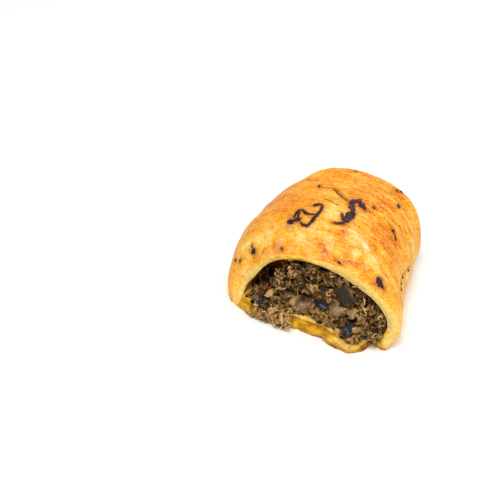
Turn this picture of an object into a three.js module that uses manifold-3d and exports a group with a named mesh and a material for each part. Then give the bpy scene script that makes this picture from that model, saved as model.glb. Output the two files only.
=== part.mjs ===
// A slice of baked pastry roll filled with chopped, stewed cabbage, open at both cut ends.
// Millimetres, +Z up. The roll lies on its flat base along Y, with the leading cut towards -Y.
import * as THREE from 'three';
import { mergeVertices } from 'three/addons/utils/BufferGeometryUtils.js';
import Module from 'manifold-3d';

const wasm = await Module();
wasm.setup();
const { degToRad } = THREE.MathUtils;

// ---- driving dimensions -------------------------------------------------------------------
const ROLL_AT = [3.22, 3.34, 0]; // the roll's own middle, from the middle under the whole part
const ROLL_LENGTH = 53.5; // along the roll's axis, from cut to cut
const CUT_BIAS = degToRad(12.8); // both cuts are turned this far about Z
const MIDDLE = 0.4; // share of the length where the middle widths are given
const HALF_WIDTH_LEFT = [34.9, 36.4, 25.0]; // leading cut, middle, rear cut
const HALF_WIDTH_RIGHT = [31.0, 27.8, 28.3];
const CREST_HEIGHT = [25.3, 33.5, 33.8]; // leading cut, top of the swell, rear cut
const SWELL_AT = 0.39; // share of the length by which the dome has risen
const CREST_LEAN = 4.2; // the crest drifts to +X towards the rear
const SECTION_POWER_LEFT = 0.85; // below 1 squares the shoulders of the arch
const SECTION_POWER_RIGHT = 0.9;
const SECTION_POWER_UP = [0.9, 0.73]; // leading cut, rear cut
const BASE_TUCK_LEFT = 1.2; // how far the foot draws in under the flank
const BASE_TUCK_RIGHT = [4.4, 1.8]; // leading cut, rear cut
const BASE_TUCK_HEIGHT = 4.5;
const BASE_TUCK_FADE = 0.25; // share of the length over which the right foot's tuck changes
// The pressed seam that stands out at the foot of the right flank, as lobes along the roll: the
// share of the length at a lobe's middle, its reach as such a share, and how far it stands out.
const SEAM_LOBES = [[0.31, 0.16, 1.4], [0.7, 0.06, 0.95], [0.95, 0.06, 0.9]];
const SEAM_HEIGHT = 2.6;
const CUT_LEAN = 3.0; // the top of the leading cut stands this far behind its foot
// Slow swells and puckers of the dough: height, waves for each millimetre along, for each radian
// round the arch, and phase.
const RELIEF = [[0.14, 0.52, -3.7, 1.1], [0.1, 1.05, 6.3, 0]];
const SWELLS = [0.3, 0.21, 2.2, 3.1, 0.7]; // height, waves along and round, second waves, phase

const EDGE_ROUND = 5.0; // length over which the crust rounds into a cut
const EDGE_DROP_LEFT = 4.0; // how far it drops there, on the left flank, on top, on the right
const EDGE_DROP_TOP = 0.5;
const EDGE_DROP_RIGHT = 0.7;
const EDGE_DROP_REAR = 0.8;
const WALL_LEFT = 7.0; // crust thickness at the left foot, on top and at the right foot
const WALL_TOP = 2.0;
const WALL_RIGHT = 3.9;
// The crust is thicker at the right foot, on the right shoulder and on the left one: the middle and
// reach of each such place round the arch, in radians, and how much is added there.
const WALL_LOBES = [[0.15, 0.3, 1.1], [1.12, 0.42, 1.6], [2.45, 0.3, 1.3]];
const REAR_WALL_EXTRA = 0.9; // the crust is thicker towards the rear
const REAR_WALL_FROM = 0.33; // share of the length by which that has been reached
const CUT_PUFF = 0.45; // how far the cut faces of the crust stand out in the middle of the wall

const FLOOR = 3.0; // thickness of the lower sheet under the filling
const FLAP = 1.9; // the sheet's tucked-in end, lying on the floor
const FLAP_EDGE = 7.5; // x at which that end stops
const FLAP_SLOPE = 5.5;
const TONGUE = 5.3; // the floor runs this far out past the leading cut
const TONGUE_LOBES = [[12.5, 9, 4.4], [-22.5, 5.5, 1.9]]; // and further here: x, reach, how far
const TONGUE_MIDDLE = -4.0;
const TONGUE_HALF = 32.0;
const TONGUE_FADE = 0.26; // share of the length over which the tongue blends into the floor
const TONGUE_FROM = 2.5; // above this height the run fades, and over this much more it ends
const TONGUE_OVER = 5.5;
const NOTCH_AT = 21.0; // a torn notch between the tongue and the right foot
const NOTCH_DEPTH = 4.4;
const NOTCH_WIDTH = 2.0;

const CLEARANCE = 0.35; // between the filling and the crust
const FILL_GAP = 0.45; // the filling core stops this far short of the crust
const ROOM_BEYOND = 9; // shreds may reach this far out of a cut
const FILL_OUT = 4.2; // the filling spills this far out over the tongue
const SPILL_FROM = [4, 8]; // above this height the spill fades, and over this much more it ends
const FURTHER_FROM = [6, 4]; // the same for the lobes that reach further
const FILL_SLOPE = 6.0; // and leans back by this much at the top of the cut
const FILL_SLOPE_POWER = 1.6;
const FILL_BACK = 1.2; // depth of the face's foot where nothing spills
const SPILL_MIDDLE = -4.0; // the spill's middle and half width
const SPILL_HALF = 30.0;
const SPILL_LOBES = [[-15.2, 6.6, 4.4], [12.5, 5.5, 3.4]]; // it reaches further here: x, reach, out
// The heap's edge below the dark hollow at the upper left, as x and z from left to right.
const HEAP_EDGE = [
  [-27.0, 1.0], [-25.9, 2.6], [-24.7, 5.2], [-23.0, 6.6], [-18.5, 9.2],
  [-15.8, 11.4], [-13.8, 14.8], [-12.2, 18.4], [-9.8, 29.0],
];
const VOID_EDGE = 5.0; // height over which the face falls into the hollow
const VOID_DEPTH = 15.0;
const VOID_SHARE = 0.25; // share of the fall that lies below the heap's edge
const REAR_BACK = 1.6; // depth of the face before the rear cut: at its foot, and more on top
const REAR_SLOPE = 2.6;
const FRONT_PHASE = 0.4; // the phases of the lumps on both faces
const REAR_PHASE = 2.1;
const APRON_X = [-28, -4]; // between these the filling may hang over the tongue's edge
const APRON_STEP = 1.5;
const APRON_TOP = 7.0;
const APRON_FOOT = 0.5;
const CLUMP_X = [-16.5, -8.5]; // and here a clump of shreds does
const CLUMP_SHREDS = 9;
const SETTLED = 1.3; // the filling has sunk this far below the crust's crest
const FACE_MIDDLE = 0.45; // height of a face's middle, as a share of the crest's height
const SHRED_WIDTH = 1.5;
const SHRED_THICKNESS = 0.75;
const DEEPEST_PIECE = 4; // shreds and leaves lie only where the hollow is less deep than this
const SHRED_ROWS = 5;
const SHRED_LIFT = 0.55; // how far shreds and leaves lie off the core's face
const SHRED_LENGTH = [5, 11];
const SHRED_BEND = 1.3; // the most that a shred's heading turns to either side, in radians
const SHRED_END_LIFT = 1.6; // the most that its ends lift off
const SHRED_END_SHARE = 0.55; // its width at the ends, as a share of the full width
const CLUMP_REACH = [1.2, 3.2]; // how far hanging shreds reach past the tongue's edge
const CLUMP_LENGTH = 4.5; // the length of them that lies on the tongue
const CLUMP_FALL = 5.0;
const LEAF_THICKNESS = 0.8;
const LEAF_LENGTH = [2.8, 4.6]; // half a leaf's length and width
const LEAF_WIDTH = [1.9, 2.9];
const LEAF_ROUND = 0.35; // how much a leaf narrows to its ends
const LEAF_WAVE = 0.6;
const LEAF_STEPS = 3;
const FRONT_PIECES = [5, 36]; // leaves and shreds at the leading cut
const REAR_PIECES = [3, 12];
const PIECE_SPACING = [7, 3]; // least distance between leaves, and between shreds
const MOST_TRIES = 4000;
const SEED = 20817;

const CRUST_STEPS = [38, 20]; // points round the arch of a section and along its flat base
const ROOM_STEPS = [26, 20];
const FILLING_STEPS = [20, 7];
const FOOT_CROWDING = 0.08; // how much closer together the arch's points lie near the feet

// ---- small helpers --------------------------------------------------------------------------
const clamp01 = (x) => Math.min(1, Math.max(0, x));
const smooth = (x) => clamp01(x) ** 2 * (3 - 2 * clamp01(x));
const signedPower = (x, power) => Math.sign(x) * Math.abs(x) ** power;
const bump = (x) => Math.exp(-x * x);
const between = ([low, high], share) => low + (high - low) * share;
const lobes = (x, list) => list.reduce((sum, [at, reach, out]) => sum + out * bump((x - at) / reach), 0);

// A smooth curve through three values: at the leading cut, at MIDDLE and at the rear cut.
function threeWay(v, [front, middle, rear]) {
  return (
    (front * (v - MIDDLE) * (v - 1)) / MIDDLE +
    (middle * v * (v - 1)) / (MIDDLE * (MIDDLE - 1)) +
    (rear * v * (v - MIDDLE)) / (1 - MIDDLE)
  );
}

// The same random numbers on every run.
function seededRandom(seed) {
  let state = seed;
  return () => {
    state = (state + 0x6d2b79f5) | 0;
    let t = Math.imul(state ^ (state >>> 15), 1 | state);
    t = (t + Math.imul(t ^ (t >>> 7), 61 | t)) ^ t;
    return ((t ^ (t >>> 14)) >>> 0) / 4294967296;
  };
}

// ---- the roll's form ------------------------------------------------------------------------
// v runs from 0 at the leading cut to 1 at the rear cut; t runs over the arch from the right
// foot (0) to the left foot (PI).
function crestHeight(v) {
  const [front, top, rear] = CREST_HEIGHT;
  const rise = 1 - (1 - clamp01(v / SWELL_AT)) ** 2;
  const fall = clamp01((v - SWELL_AT) / (1 - SWELL_AT)) ** 2;
  return front + (top - front) * rise + (rear - top) * fall;
}

// A value that has its own size on the left flank, on top and on the right flank.
function roundArch(t, left, top, right) {
  const side = Math.cos(t);
  return top + (side < 0 ? left - top : right - top) * side * side;
}

function edgeDrop(v, t) {
  const drop = roundArch(t, EDGE_DROP_LEFT, EDGE_DROP_TOP, EDGE_DROP_RIGHT);
  const roundOff = (distance) => 1 - Math.sqrt(1 - clamp01(1 - distance / EDGE_ROUND) ** 2);
  return drop * roundOff(v * ROLL_LENGTH) + EDGE_DROP_REAR * roundOff((1 - v) * ROLL_LENGTH);
}

function wall(v, t) {
  const extra = lobes(t, WALL_LOBES) + REAR_WALL_EXTRA * smooth(v / REAR_WALL_FROM);
  return roundArch(t, WALL_LEFT, WALL_TOP, WALL_RIGHT) + extra;
}

// Slow swells and puckers of the baked dough, along the outward direction.
function crustRelief(v, t) {
  const along = v * ROLL_LENGTH;
  const [height, perLength, perTurn, secondPerTurn, phase] = SWELLS;
  const swell = height * Math.sin(along * perLength + perTurn * t) * Math.sin(t * secondPerTurn + phase);
  const wave = ([size, length, turn, start]) => size * Math.sin(along * length + turn * t + start);
  return RELIEF.reduce((sum, one) => sum + wave(one), swell);
}

// The crust's outside lies this far within the plain arch.
function outsideInset(v, t) {
  return edgeDrop(v, t) - crustRelief(v, t) * smooth(Math.sin(t) * 2);
}

// How far the floor runs out past the leading cut at x.
function tongue(x) {
  const spread = clamp01(1 - ((x - TONGUE_MIDDLE) / TONGUE_HALF) ** 4);
  const notch = NOTCH_DEPTH * bump((x - NOTCH_AT) / NOTCH_WIDTH);
  return (TONGUE + lobes(x, TONGUE_LOBES)) * spread - notch;
}

// The lengthwise place of a point of section v that is at x and z.
function alongRoll(v, x, z) {
  const lean = CUT_LEAN * (1 - v) ** 2;
  const low = 1 - smooth((z - TONGUE_FROM) / TONGUE_OVER);
  const run = tongue(x) * low * (1 - smooth(v / TONGUE_FADE));
  return ROLL_LENGTH * (v - 0.5) - x * Math.tan(CUT_BIAS) + (lean * z) / CREST_HEIGHT[0] - run;
}

function upPower(v) {
  return SECTION_POWER_UP[0] + (SECTION_POWER_UP[1] - SECTION_POWER_UP[0]) * v;
}

function archPoint(v, t, inset) {
  const side = Math.cos(t);
  const half = threeWay(v, side > 0 ? HALF_WIDTH_RIGHT : HALF_WIDTH_LEFT);
  const power = side > 0 ? SECTION_POWER_RIGHT : SECTION_POWER_LEFT;
  const lift = signedPower(Math.sin(t), upPower(v));
  const z = (crestHeight(v) - inset) * lift;
  const x = (half - inset) * signedPower(side, power) + CREST_LEAN * lift * v;
  return [x - Math.sign(side) * footTuck(v, z, side > 0), z];
}

// The angle, from the foot, at which an arch reaches the height of its base.
function footAngle(v, inset, base) {
  return Math.asin(clamp01(base / (crestHeight(v) - inset)) ** (1 / upPower(v)));
}

function footTuck(v, z, onRight) {
  const [front, rear] = onRight ? BASE_TUCK_RIGHT : [BASE_TUCK_LEFT, BASE_TUCK_LEFT];
  const seam = onRight ? lobes(v, SEAM_LOBES) * bump(z / SEAM_HEIGHT) : 0;
  const most = front + (rear - front) * smooth(v / BASE_TUCK_FADE);
  return most * bump(z / BASE_TUCK_HEIGHT) - seam;
}

function floorHeight(x) {
  return FLOOR + FLAP * (1 - smooth((x - FLAP_EDGE) / FLAP_SLOPE));
}

// One closed section: the arch, then the base from the left foot back to the right one. Points
// lie closer together near the feet.
function section(v, inset, baseHeight, [archSteps, baseSteps]) {
  const [rightBase, leftBase] = [baseHeight(HALF_WIDTH_RIGHT[0]), baseHeight(-HALF_WIDTH_LEFT[0])];
  const start = footAngle(v, inset(v, 0), rightBase);
  const span = Math.PI - start - footAngle(v, inset(v, Math.PI), leftBase);
  const points = [];
  for (let i = 0; i <= archSteps; i++) {
    const share = i / archSteps;
    const t = start + span * (share - FOOT_CROWDING * Math.sin(2 * Math.PI * share));
    points.push(archPoint(v, t, inset(v, t)));
  }
  const [right, left] = [points[0][0], points[archSteps][0]];
  for (let i = 1; i < baseSteps; i++) {
    const x = left + ((right - left) * i) / baseSteps;
    points.push([x, baseHeight(x)]);
  }
  return points.map(([x, z]) => new THREE.Vector3(x, alongRoll(v, x, z), z));
}

// ---- meshes from rows of points -------------------------------------------------------------
// Rings of equal length, joined in order; a closed chain of rings needs no caps.
function ringsGeometry(rings, chainClosed) {
  const size = rings[0].length;
  const position = [];
  const index = [];
  rings.forEach((ring) => ring.forEach((p) => position.push(p.x, p.y, p.z)));
  const last = chainClosed ? rings.length : rings.length - 1;
  for (let r = 0; r < last; r++) {
    const next = (r + 1) % rings.length;
    for (let i = 0; i < size; i++) {
      const j = (i + 1) % size;
      const [a, b] = [r * size + i, r * size + j];
      const [c, d] = [next * size + i, next * size + j];
      index.push(a, b, d, a, d, c);
    }
  }
  return bareGeometry(position, index);
}

function bareGeometry(position, index) {
  const geometry = new THREE.BufferGeometry();
  geometry.setAttribute('position', new THREE.Float32BufferAttribute(position, 3));
  geometry.setIndex(index);
  return geometry;
}

// A closed solid from rings, its first and last ring closed by a fan from their middle.
function cappedSolid(rings) {
  const middle = (ring) => {
    const sum = ring.reduce((total, p) => total.add(p), new THREE.Vector3());
    return ring.map(() => sum.clone().divideScalar(ring.length));
  };
  return toSolid(ringsGeometry([middle(rings[0]), ...rings, middle(rings.at(-1))], false));
}

function toSolid(geometry) {
  const merged = mergeVertices(geometry, 1e-4);
  const triVerts = new Uint32Array(merged.index.array);
  const vertProperties = merged.attributes.position.array;
  let solid = new wasm.Manifold(new wasm.Mesh({ numProp: 3, vertProperties, triVerts }));
  if (solid.volume() < 0) {
    for (let i = 0; i < triVerts.length; i += 3) {
      [triVerts[i + 1], triVerts[i + 2]] = [triVerts[i + 2], triVerts[i + 1]];
    }
    solid = new wasm.Manifold(new wasm.Mesh({ numProp: 3, vertProperties, triVerts }));
  }
  return solid;
}

function toGeometry(solid) {
  const mesh = solid.getMesh();
  const geometry = bareGeometry(mesh.vertProperties, new THREE.Uint32BufferAttribute(mesh.triVerts, 1));
  geometry.computeVertexNormals();
  return geometry;
}

function largestBody(solid) {
  return solid.decompose().reduce((best, body) => (body.volume() > best.volume() ? body : best));
}

// A thin closed sheet through rows of {at, out}: it reaches from sink below each point to rise
// above it along out, and both of its faces are split into the same triangles.
function sheet(rows, rise, sink) {
  const columns = rows[0].length;
  const points = rows.flat();
  const position = [rise, -sink].flatMap((offset) =>
    points.flatMap(({ at, out }) => at.clone().addScaledVector(out, offset).toArray()),
  );
  const under = points.length;
  const index = [];
  const face = (a, b, c, d) => {
    index.push(a, b, d, a, d, c, b + under, a + under, d + under, d + under, a + under, c + under);
  };
  for (let r = 0; r < rows.length - 1; r++) {
    for (let i = 0; i < columns - 1; i++) {
      const a = r * columns + i;
      face(a, a + 1, a + columns, a + columns + 1);
    }
  }
  const edge = sheetEdge(rows.length, columns);
  edge.forEach((a, i) => {
    const b = edge[(i + 1) % edge.length];
    index.push(b, a, a + under, b, a + under, b + under);
  });
  return toSolid(bareGeometry(position, index));
}

// The points round a grid of rows and columns, in the order in which its top face turns.
function sheetEdge(rows, columns) {
  const edge = [];
  for (let i = 0; i < columns - 1; i++) edge.push(i);
  for (let r = 0; r < rows - 1; r++) edge.push(r * columns + columns - 1);
  for (let i = columns - 1; i > 0; i--) edge.push((rows - 1) * columns + i);
  for (let r = rows - 1; r > 0; r--) edge.push(r * columns);
  return edge;
}

// ---- crust ------------------------------------------------------------------------------------
// Shares of the length at which the crust has a section: close together where it rounds to a cut.
const OUTSIDE_STATIONS = [0, 0.012, 0.035, 0.07, 0.12, 0.18, 0.24, 0.3, 0.37, 0.44, 0.51, 0.58,
  0.65, 0.72, 0.79, 0.86, 0.92, 0.96, 0.987, 1];
const CAVITY_STATIONS = [1, 0.9, 0.75, 0.6, 0.45, 0.3, 0.18, 0.08, 0];

function outsideRing(v) {
  return section(v, outsideInset, () => 0, CRUST_STEPS);
}

// The cavity's section, or one that keeps a clearance to it.
function cavityRing(v, steps, clearance = 0) {
  const inset = (at, t) => wall(at, t) + clearance;
  return section(v, inset, (x) => floorHeight(x) + clearance, steps);
}

// The puffed face of a cut: a ring between the outside's edge and the cavity's edge.
function cutRing(outer, inner, puff) {
  return outer.map((p, i) => p.clone().lerp(inner[i], 0.5).add(new THREE.Vector3(0, puff, 0)));
}

function crustBody() {
  const outside = OUTSIDE_STATIONS.map(outsideRing);
  const cavity = CAVITY_STATIONS.map((v) => cavityRing(v, CRUST_STEPS));
  const rear = cutRing(outside.at(-1), cavity[0], CUT_PUFF);
  const front = cutRing(cavity.at(-1), outside[0], -CUT_PUFF);
  return toSolid(ringsGeometry([...outside, rear, ...cavity, front], true));
}

// A point of the crust's outside with its outward normal.
function crustFrame(v, t) {
  const at = (a, b) => {
    const [x, z] = archPoint(a, b, outsideInset(a, b));
    return new THREE.Vector3(x, alongRoll(a, x, z), z);
  };
  const step = 0.01;
  const point = at(v, t);
  const alongV = at(v + step, t).sub(point);
  const alongT = at(v, t + step).sub(point);
  return { point, normal: alongV.cross(alongT).normalize() };
}

// Scorched scraps of cabbage stuck to the top, each a path of [v, t] places and its width in mm.
const SCORCHES = [
  { width: 2.0, path: [[0.2, 1.92], [0.24, 1.89], [0.31, 1.86], [0.28, 1.79], [0.22, 1.84]] },
  { width: 1.3, path: [[0.22, 1.85], [0.18, 1.76], [0.25, 1.7], [0.39, 1.7], [0.42, 1.74], [0.39, 1.78]] },
  { width: 1.9, path: [[0.25, 1.57], [0.27, 1.51], [0.38, 1.47], [0.45, 1.45], [0.53, 1.51]] },
  { width: 2.3, path: [[0.51, 1.51], [0.58, 1.5], [0.61, 1.44], [0.54, 1.33]] },
  { width: 3.4, path: [[0.03, 0.82], [0.06, 0.85], [0.09, 0.9]] },
  { width: 2.1, path: [[0.03, 2.33], [0.07, 2.33]] },
  { width: 1.5, path: [[0.77, 0.97], [0.8, 0.96]] },
  { width: 1.0, path: [[0.54, 0.87], [0.49, 0.77]] },
];
const SCORCH_RISE = 0.4;
const SCORCH_SINK = 0.5;

function scorch({ path, width }) {
  const rows = path.map(([v, t], i) => {
    const { point, normal } = crustFrame(v, t);
    const [before, after] = [path[Math.max(0, i - 1)], path[Math.min(path.length - 1, i + 1)]];
    const heading = crustFrame(...after).point.sub(crustFrame(...before).point).normalize();
    const across = heading.cross(normal).normalize();
    const half = width * (0.3 + 0.2 * Math.sin((Math.PI * (i + 0.5)) / path.length));
    return [-half, half].map((s) => ({ at: point.clone().addScaledVector(across, s), out: normal }));
  });
  return sheet(rows, SCORCH_RISE, SCORCH_SINK);
}

function makeCrust() {
  return largestBody(SCORCHES.reduce((body, mark) => body.add(scorch(mark)), crustBody()));
}

// ---- filling ----------------------------------------------------------------------------------
// Lumps of chopped cabbage, as a height over a cut face.
function lumps(x, z, phase) {
  return (
    0.9 * Math.sin(x * 0.42 + phase) * Math.cos(z * 0.5 - phase) +
    0.6 * Math.sin(x * 0.93 - z * 0.55 + 2 * phase) +
    0.35 * Math.cos(x * 1.7 + z * 1.3 + phase)
  );
}

// Depth of the filling's face behind the leading cut; negative where it spills out.
function frontDepth(x, z, lumpy = 1) {
  const spread = clamp01(1 - ((x - SPILL_MIDDLE) / SPILL_HALF) ** 4);
  const fade = ([from, over]) => 1 - smooth((z - from) / over);
  const spill = FILL_OUT * fade(SPILL_FROM) * spread;
  const further = lobes(x, SPILL_LOBES) * fade(FURTHER_FROM);
  const slope = FILL_SLOPE * (Math.max(0, z) / CREST_HEIGHT[0]) ** FILL_SLOPE_POWER;
  return FILL_BACK - spill - further + slope + hollow(x, z) + lumpy * lumps(x, z, FRONT_PHASE);
}

// Height of the heap's edge at x, on straight lines between the places given for it.
function heapEdge(x) {
  const next = HEAP_EDGE.findIndex(([place]) => place > x);
  if (next < 1) return HEAP_EDGE.at(next)[1];
  const [[fromX, fromZ], [toX, toZ]] = HEAP_EDGE.slice(next - 1, next + 1);
  return fromZ + ((toZ - fromZ) * (x - fromX)) / (toX - fromX);
}

// How much deeper the filling lies where it has sunk away, at the upper left.
function hollow(x, z) {
  return VOID_DEPTH * smooth((z - heapEdge(x)) / VOID_EDGE + VOID_SHARE);
}

// Depth of the filling's face before the rear cut.
function rearDepth(x, z, lumpy = 1) {
  return REAR_BACK + REAR_SLOPE * (z / CREST_HEIGHT[2]) ** 2 + lumpy * lumps(x, z, REAR_PHASE);
}

function fillRing(v) {
  const inset = (at, t) => wall(at, t) + FILL_GAP + SETTLED * Math.max(0, Math.sin(t)) ** 2;
  return section(v, inset, (x) => floorHeight(x) + FILL_GAP, FILLING_STEPS);
}

// All the space that the filling may take, out past both cuts and down before the tongue.
function fillingRoom() {
  const rings = CAVITY_STATIONS.map((v) => cavityRing(v, ROOM_STEPS, CLEARANCE));
  const beyond = (ring, y) => ring.map((p) => p.clone().add(new THREE.Vector3(0, y, 0)));
  const inside = [beyond(rings[0], ROOM_BEYOND), ...rings, beyond(rings.at(-1), -ROOM_BEYOND)];
  const apron = [];
  for (let x = APRON_X[0]; x <= APRON_X[1]; x += APRON_STEP) {
    const [near, far] = [tongueEdge(x) - CLEARANCE, tongueEdge(x) - ROOM_BEYOND];
    const corners = [[near, APRON_FOOT], [near, APRON_TOP], [far, APRON_TOP], [far, APRON_FOOT]];
    apron.push(corners.map(([y, z]) => new THREE.Vector3(x, y, z)));
  }
  return cappedSolid(inside).add(cappedSolid(apron));
}

// The foremost place of the tongue's edge at x.
function tongueEdge(x) {
  return alongRoll(0, x, 0) - CUT_PUFF;
}

// The face of one end: rings that shrink from the section's edge to its middle.
function faceRings(v, depth, shares) {
  const edge = fillRing(v);
  const middle = new THREE.Vector3(0, 0, crestHeight(v) * FACE_MIDDLE);
  return shares.map((share) =>
    edge.map((p) => {
      const x = middle.x + (p.x - middle.x) * share;
      const z = middle.z + (p.z - middle.z) * share;
      const y = ROLL_LENGTH * (v - 0.5) - x * Math.tan(CUT_BIAS);
      return new THREE.Vector3(x, v < 0.5 ? y + depth(x, z) : y - depth(x, z), z);
    }),
  );
}

const FACE_SHARES = [0.25, 0.46, 0.66, 0.84, 1];
const FILL_STATIONS = [0.46, 0.58, 0.72, 0.86];

function fillingCore() {
  const front = faceRings(0, frontDepth, FACE_SHARES);
  const rear = faceRings(1, rearDepth, [...FACE_SHARES].reverse());
  const rings = [...front, ...FILL_STATIONS.map(fillRing), ...rear];
  return cappedSolid(rings);
}

// A face's point at x, z, lying out by lift, with the directions across, up and out of the face.
function faceFrame(x, z, front, lift) {
  const depth = front ? frontDepth : rearDepth;
  const outward = front ? -1 : 1;
  const place = (a, b, lumpy) => {
    const y = ROLL_LENGTH * (front ? -0.5 : 0.5) - a * Math.tan(CUT_BIAS);
    return new THREE.Vector3(a, y - outward * depth(a, b, lumpy), b);
  };
  const across = place(x + 1, z, 0).sub(place(x - 1, z, 0)).normalize();
  const up = place(x, z + 1, 0).sub(place(x, z - 1, 0)).normalize();
  const out = across.clone().cross(up).multiplyScalar(-outward).normalize();
  return { at: place(x, z, 0.6).addScaledVector(out, lift), across, up, out };
}

// Random places inside the filling's face, none closer to another than spacing.
function facePlaces(random, front, count, spacing) {
  const v = front ? 0 : 1;
  const foot = FLOOR + FLAP;
  const places = [];
  for (let tries = 0; places.length < count && tries < MOST_TRIES; tries++) {
    const t = Math.PI * (0.03 + 0.94 * random());
    const [edgeX, edgeZ] = archPoint(v, t, wall(v, t) + 2);
    const share = Math.sqrt(random());
    const [x, z] = [edgeX * share, foot + 0.5 + Math.max(0, edgeZ - foot) * share];
    const sunk = front && hollow(x, z) > DEEPEST_PIECE;
    if (!sunk && places.every((p) => Math.hypot(p[0] - x, p[1] - z) > spacing)) places.push([x, z]);
  }
  return places;
}

// A strip through a row of points, turned about its own length by roll.
function strip(path, side, out, half, roll) {
  const across = side.clone().multiplyScalar(Math.cos(roll)).addScaledVector(out, Math.sin(roll));
  const facing = out.clone().multiplyScalar(Math.cos(roll)).addScaledVector(side, -Math.sin(roll));
  const rows = path.map((at, i) => {
    const w = half * (i === 0 || i === path.length - 1 ? SHRED_END_SHARE : 1);
    return [-w, w].map((s) => ({ at: at.clone().addScaledVector(across, s), out: facing }));
  });
  return sheet(rows, SHRED_THICKNESS / 2, SHRED_THICKNESS / 2);
}

// A curled shred of cabbage lying on a face, its ends lifting off.
function shred(random, front, [x, z]) {
  const length = between(SHRED_LENGTH, random());
  const half = (SHRED_WIDTH / 2) * (0.8 + 0.5 * random());
  const heading = Math.PI * random();
  const bend = SHRED_BEND * (2 * random() - 1);
  const lifts = [SHRED_END_LIFT * random() ** 2, SHRED_END_LIFT * random() ** 2];
  const path = [];
  for (let i = 0; i < SHRED_ROWS; i++) {
    const k = i / (SHRED_ROWS - 1) - 0.5;
    const angle = heading + bend * k;
    const lift = SHRED_LIFT + lifts[k < 0 ? 0 : 1] * (2 * k) ** 2;
    const [px, pz] = [x + k * length * Math.cos(angle), z + k * length * Math.sin(angle)];
    path.push(faceFrame(px, pz, front, lift).at);
  }
  const { across, up, out } = faceFrame(x, z, front, 0);
  const side = across.multiplyScalar(-Math.sin(heading)).addScaledVector(up, Math.cos(heading));
  return strip(path, side, out, half, (random() - 0.5) * 2);
}

// A shred that lies on the tongue and hangs over its edge.
function hangingShred(random) {
  const x = between(CLUMP_X, random());
  const reach = between(CLUMP_REACH, random());
  const sway = (random() - 0.5) * 4;
  const path = [];
  for (let i = 0; i < SHRED_ROWS + 1; i++) {
    const k = i / SHRED_ROWS;
    const y = tongueEdge(x) + CLUMP_LENGTH - (CLUMP_LENGTH + reach) * Math.sin(k * 1.9);
    const z = FLOOR + FLAP + 1.5 + random() * 0.5 - CLUMP_FALL * k ** 2.5;
    path.push(new THREE.Vector3(x + sway * k, y, z));
  }
  const side = new THREE.Vector3(1, 0, 0);
  return strip(path, side, new THREE.Vector3(0, -0.8, 0.6), SHRED_WIDTH * 0.6, random() - 0.5);
}

// A soft wavy leaf lying on a face.
function leaf(random, front, [x, z]) {
  const turn = Math.PI * random();
  const [long, wide] = [between(LEAF_LENGTH, random()), between(LEAF_WIDTH, random())];
  const phase = 6 * random();
  const rows = [];
  for (let i = 0; i <= LEAF_STEPS; i++) {
    const a = (2 * i) / LEAF_STEPS - 1;
    const row = [];
    for (let j = 0; j <= LEAF_STEPS; j++) {
      const b = ((2 * j) / LEAF_STEPS - 1) * (1 - LEAF_ROUND * a * a);
      const px = x + a * long * Math.cos(turn) - b * wide * Math.sin(turn);
      const pz = z + a * long * Math.sin(turn) + b * wide * Math.cos(turn);
      const wave = LEAF_WAVE * (1 + Math.sin(2.5 * a + phase) * Math.cos(2 * b - phase));
      row.push(faceFrame(px, pz, front, SHRED_LIFT + wave));
    }
    rows.push(row);
  }
  return sheet(rows, LEAF_THICKNESS / 2, LEAF_THICKNESS / 2);
}

function makeFilling() {
  const random = seededRandom(SEED);
  const [leafSpacing, shredSpacing] = PIECE_SPACING;
  const pieces = [fillingCore()];
  for (const [front, leaves, shreds] of [[true, ...FRONT_PIECES], [false, ...REAR_PIECES]]) {
    const leafPlaces = facePlaces(random, front, leaves, leafSpacing);
    leafPlaces.forEach((place) => pieces.push(leaf(random, front, place)));
    const shredPlaces = facePlaces(random, front, shreds, shredSpacing);
    shredPlaces.forEach((place) => pieces.push(shred(random, front, place)));
  }
  for (let i = 0; i < CLUMP_SHREDS; i++) pieces.push(hangingShred(random));
  const whole = pieces.reduce((body, piece) => body.add(piece));
  return largestBody(whole.intersect(fillingRoom()));
}

// ---- the part ---------------------------------------------------------------------------------
function named(name, solid, color, roughness) {
  const material = new THREE.MeshStandardMaterial({ color, roughness, metalness: 0 });
  const mesh = new THREE.Mesh(toGeometry(solid), material);
  mesh.name = name;
  return mesh;
}

const pastry = new THREE.Group();
pastry.position.set(...ROLL_AT);
pastry.add(named('crust', makeCrust(), 0xe0a04a, 0.55));
pastry.add(named('filling', makeFilling(), 0x5a4a30, 0.7));

export default pastry;
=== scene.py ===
"""The looks of a slice of cabbage pastry roll: a baked crust round chopped, stewed cabbage.

Shapes are worked out in millimetres, in the roll's own place, and go into the part's frame last.
"""
import math
from collections import namedtuple

import bpy
import numpy as np
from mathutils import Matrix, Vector


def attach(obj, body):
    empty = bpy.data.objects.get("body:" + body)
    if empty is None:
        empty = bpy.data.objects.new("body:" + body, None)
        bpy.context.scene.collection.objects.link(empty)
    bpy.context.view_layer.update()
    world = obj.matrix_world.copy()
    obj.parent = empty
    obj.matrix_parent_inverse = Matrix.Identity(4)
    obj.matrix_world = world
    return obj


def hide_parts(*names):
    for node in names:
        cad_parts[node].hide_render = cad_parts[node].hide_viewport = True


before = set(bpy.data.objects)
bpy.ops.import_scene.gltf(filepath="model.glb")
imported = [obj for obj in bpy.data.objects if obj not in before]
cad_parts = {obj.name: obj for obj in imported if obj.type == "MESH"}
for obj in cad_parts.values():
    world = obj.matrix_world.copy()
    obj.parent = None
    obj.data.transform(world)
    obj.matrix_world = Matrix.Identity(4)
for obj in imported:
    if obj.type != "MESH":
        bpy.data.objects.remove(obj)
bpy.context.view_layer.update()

MM = 0.001

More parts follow.
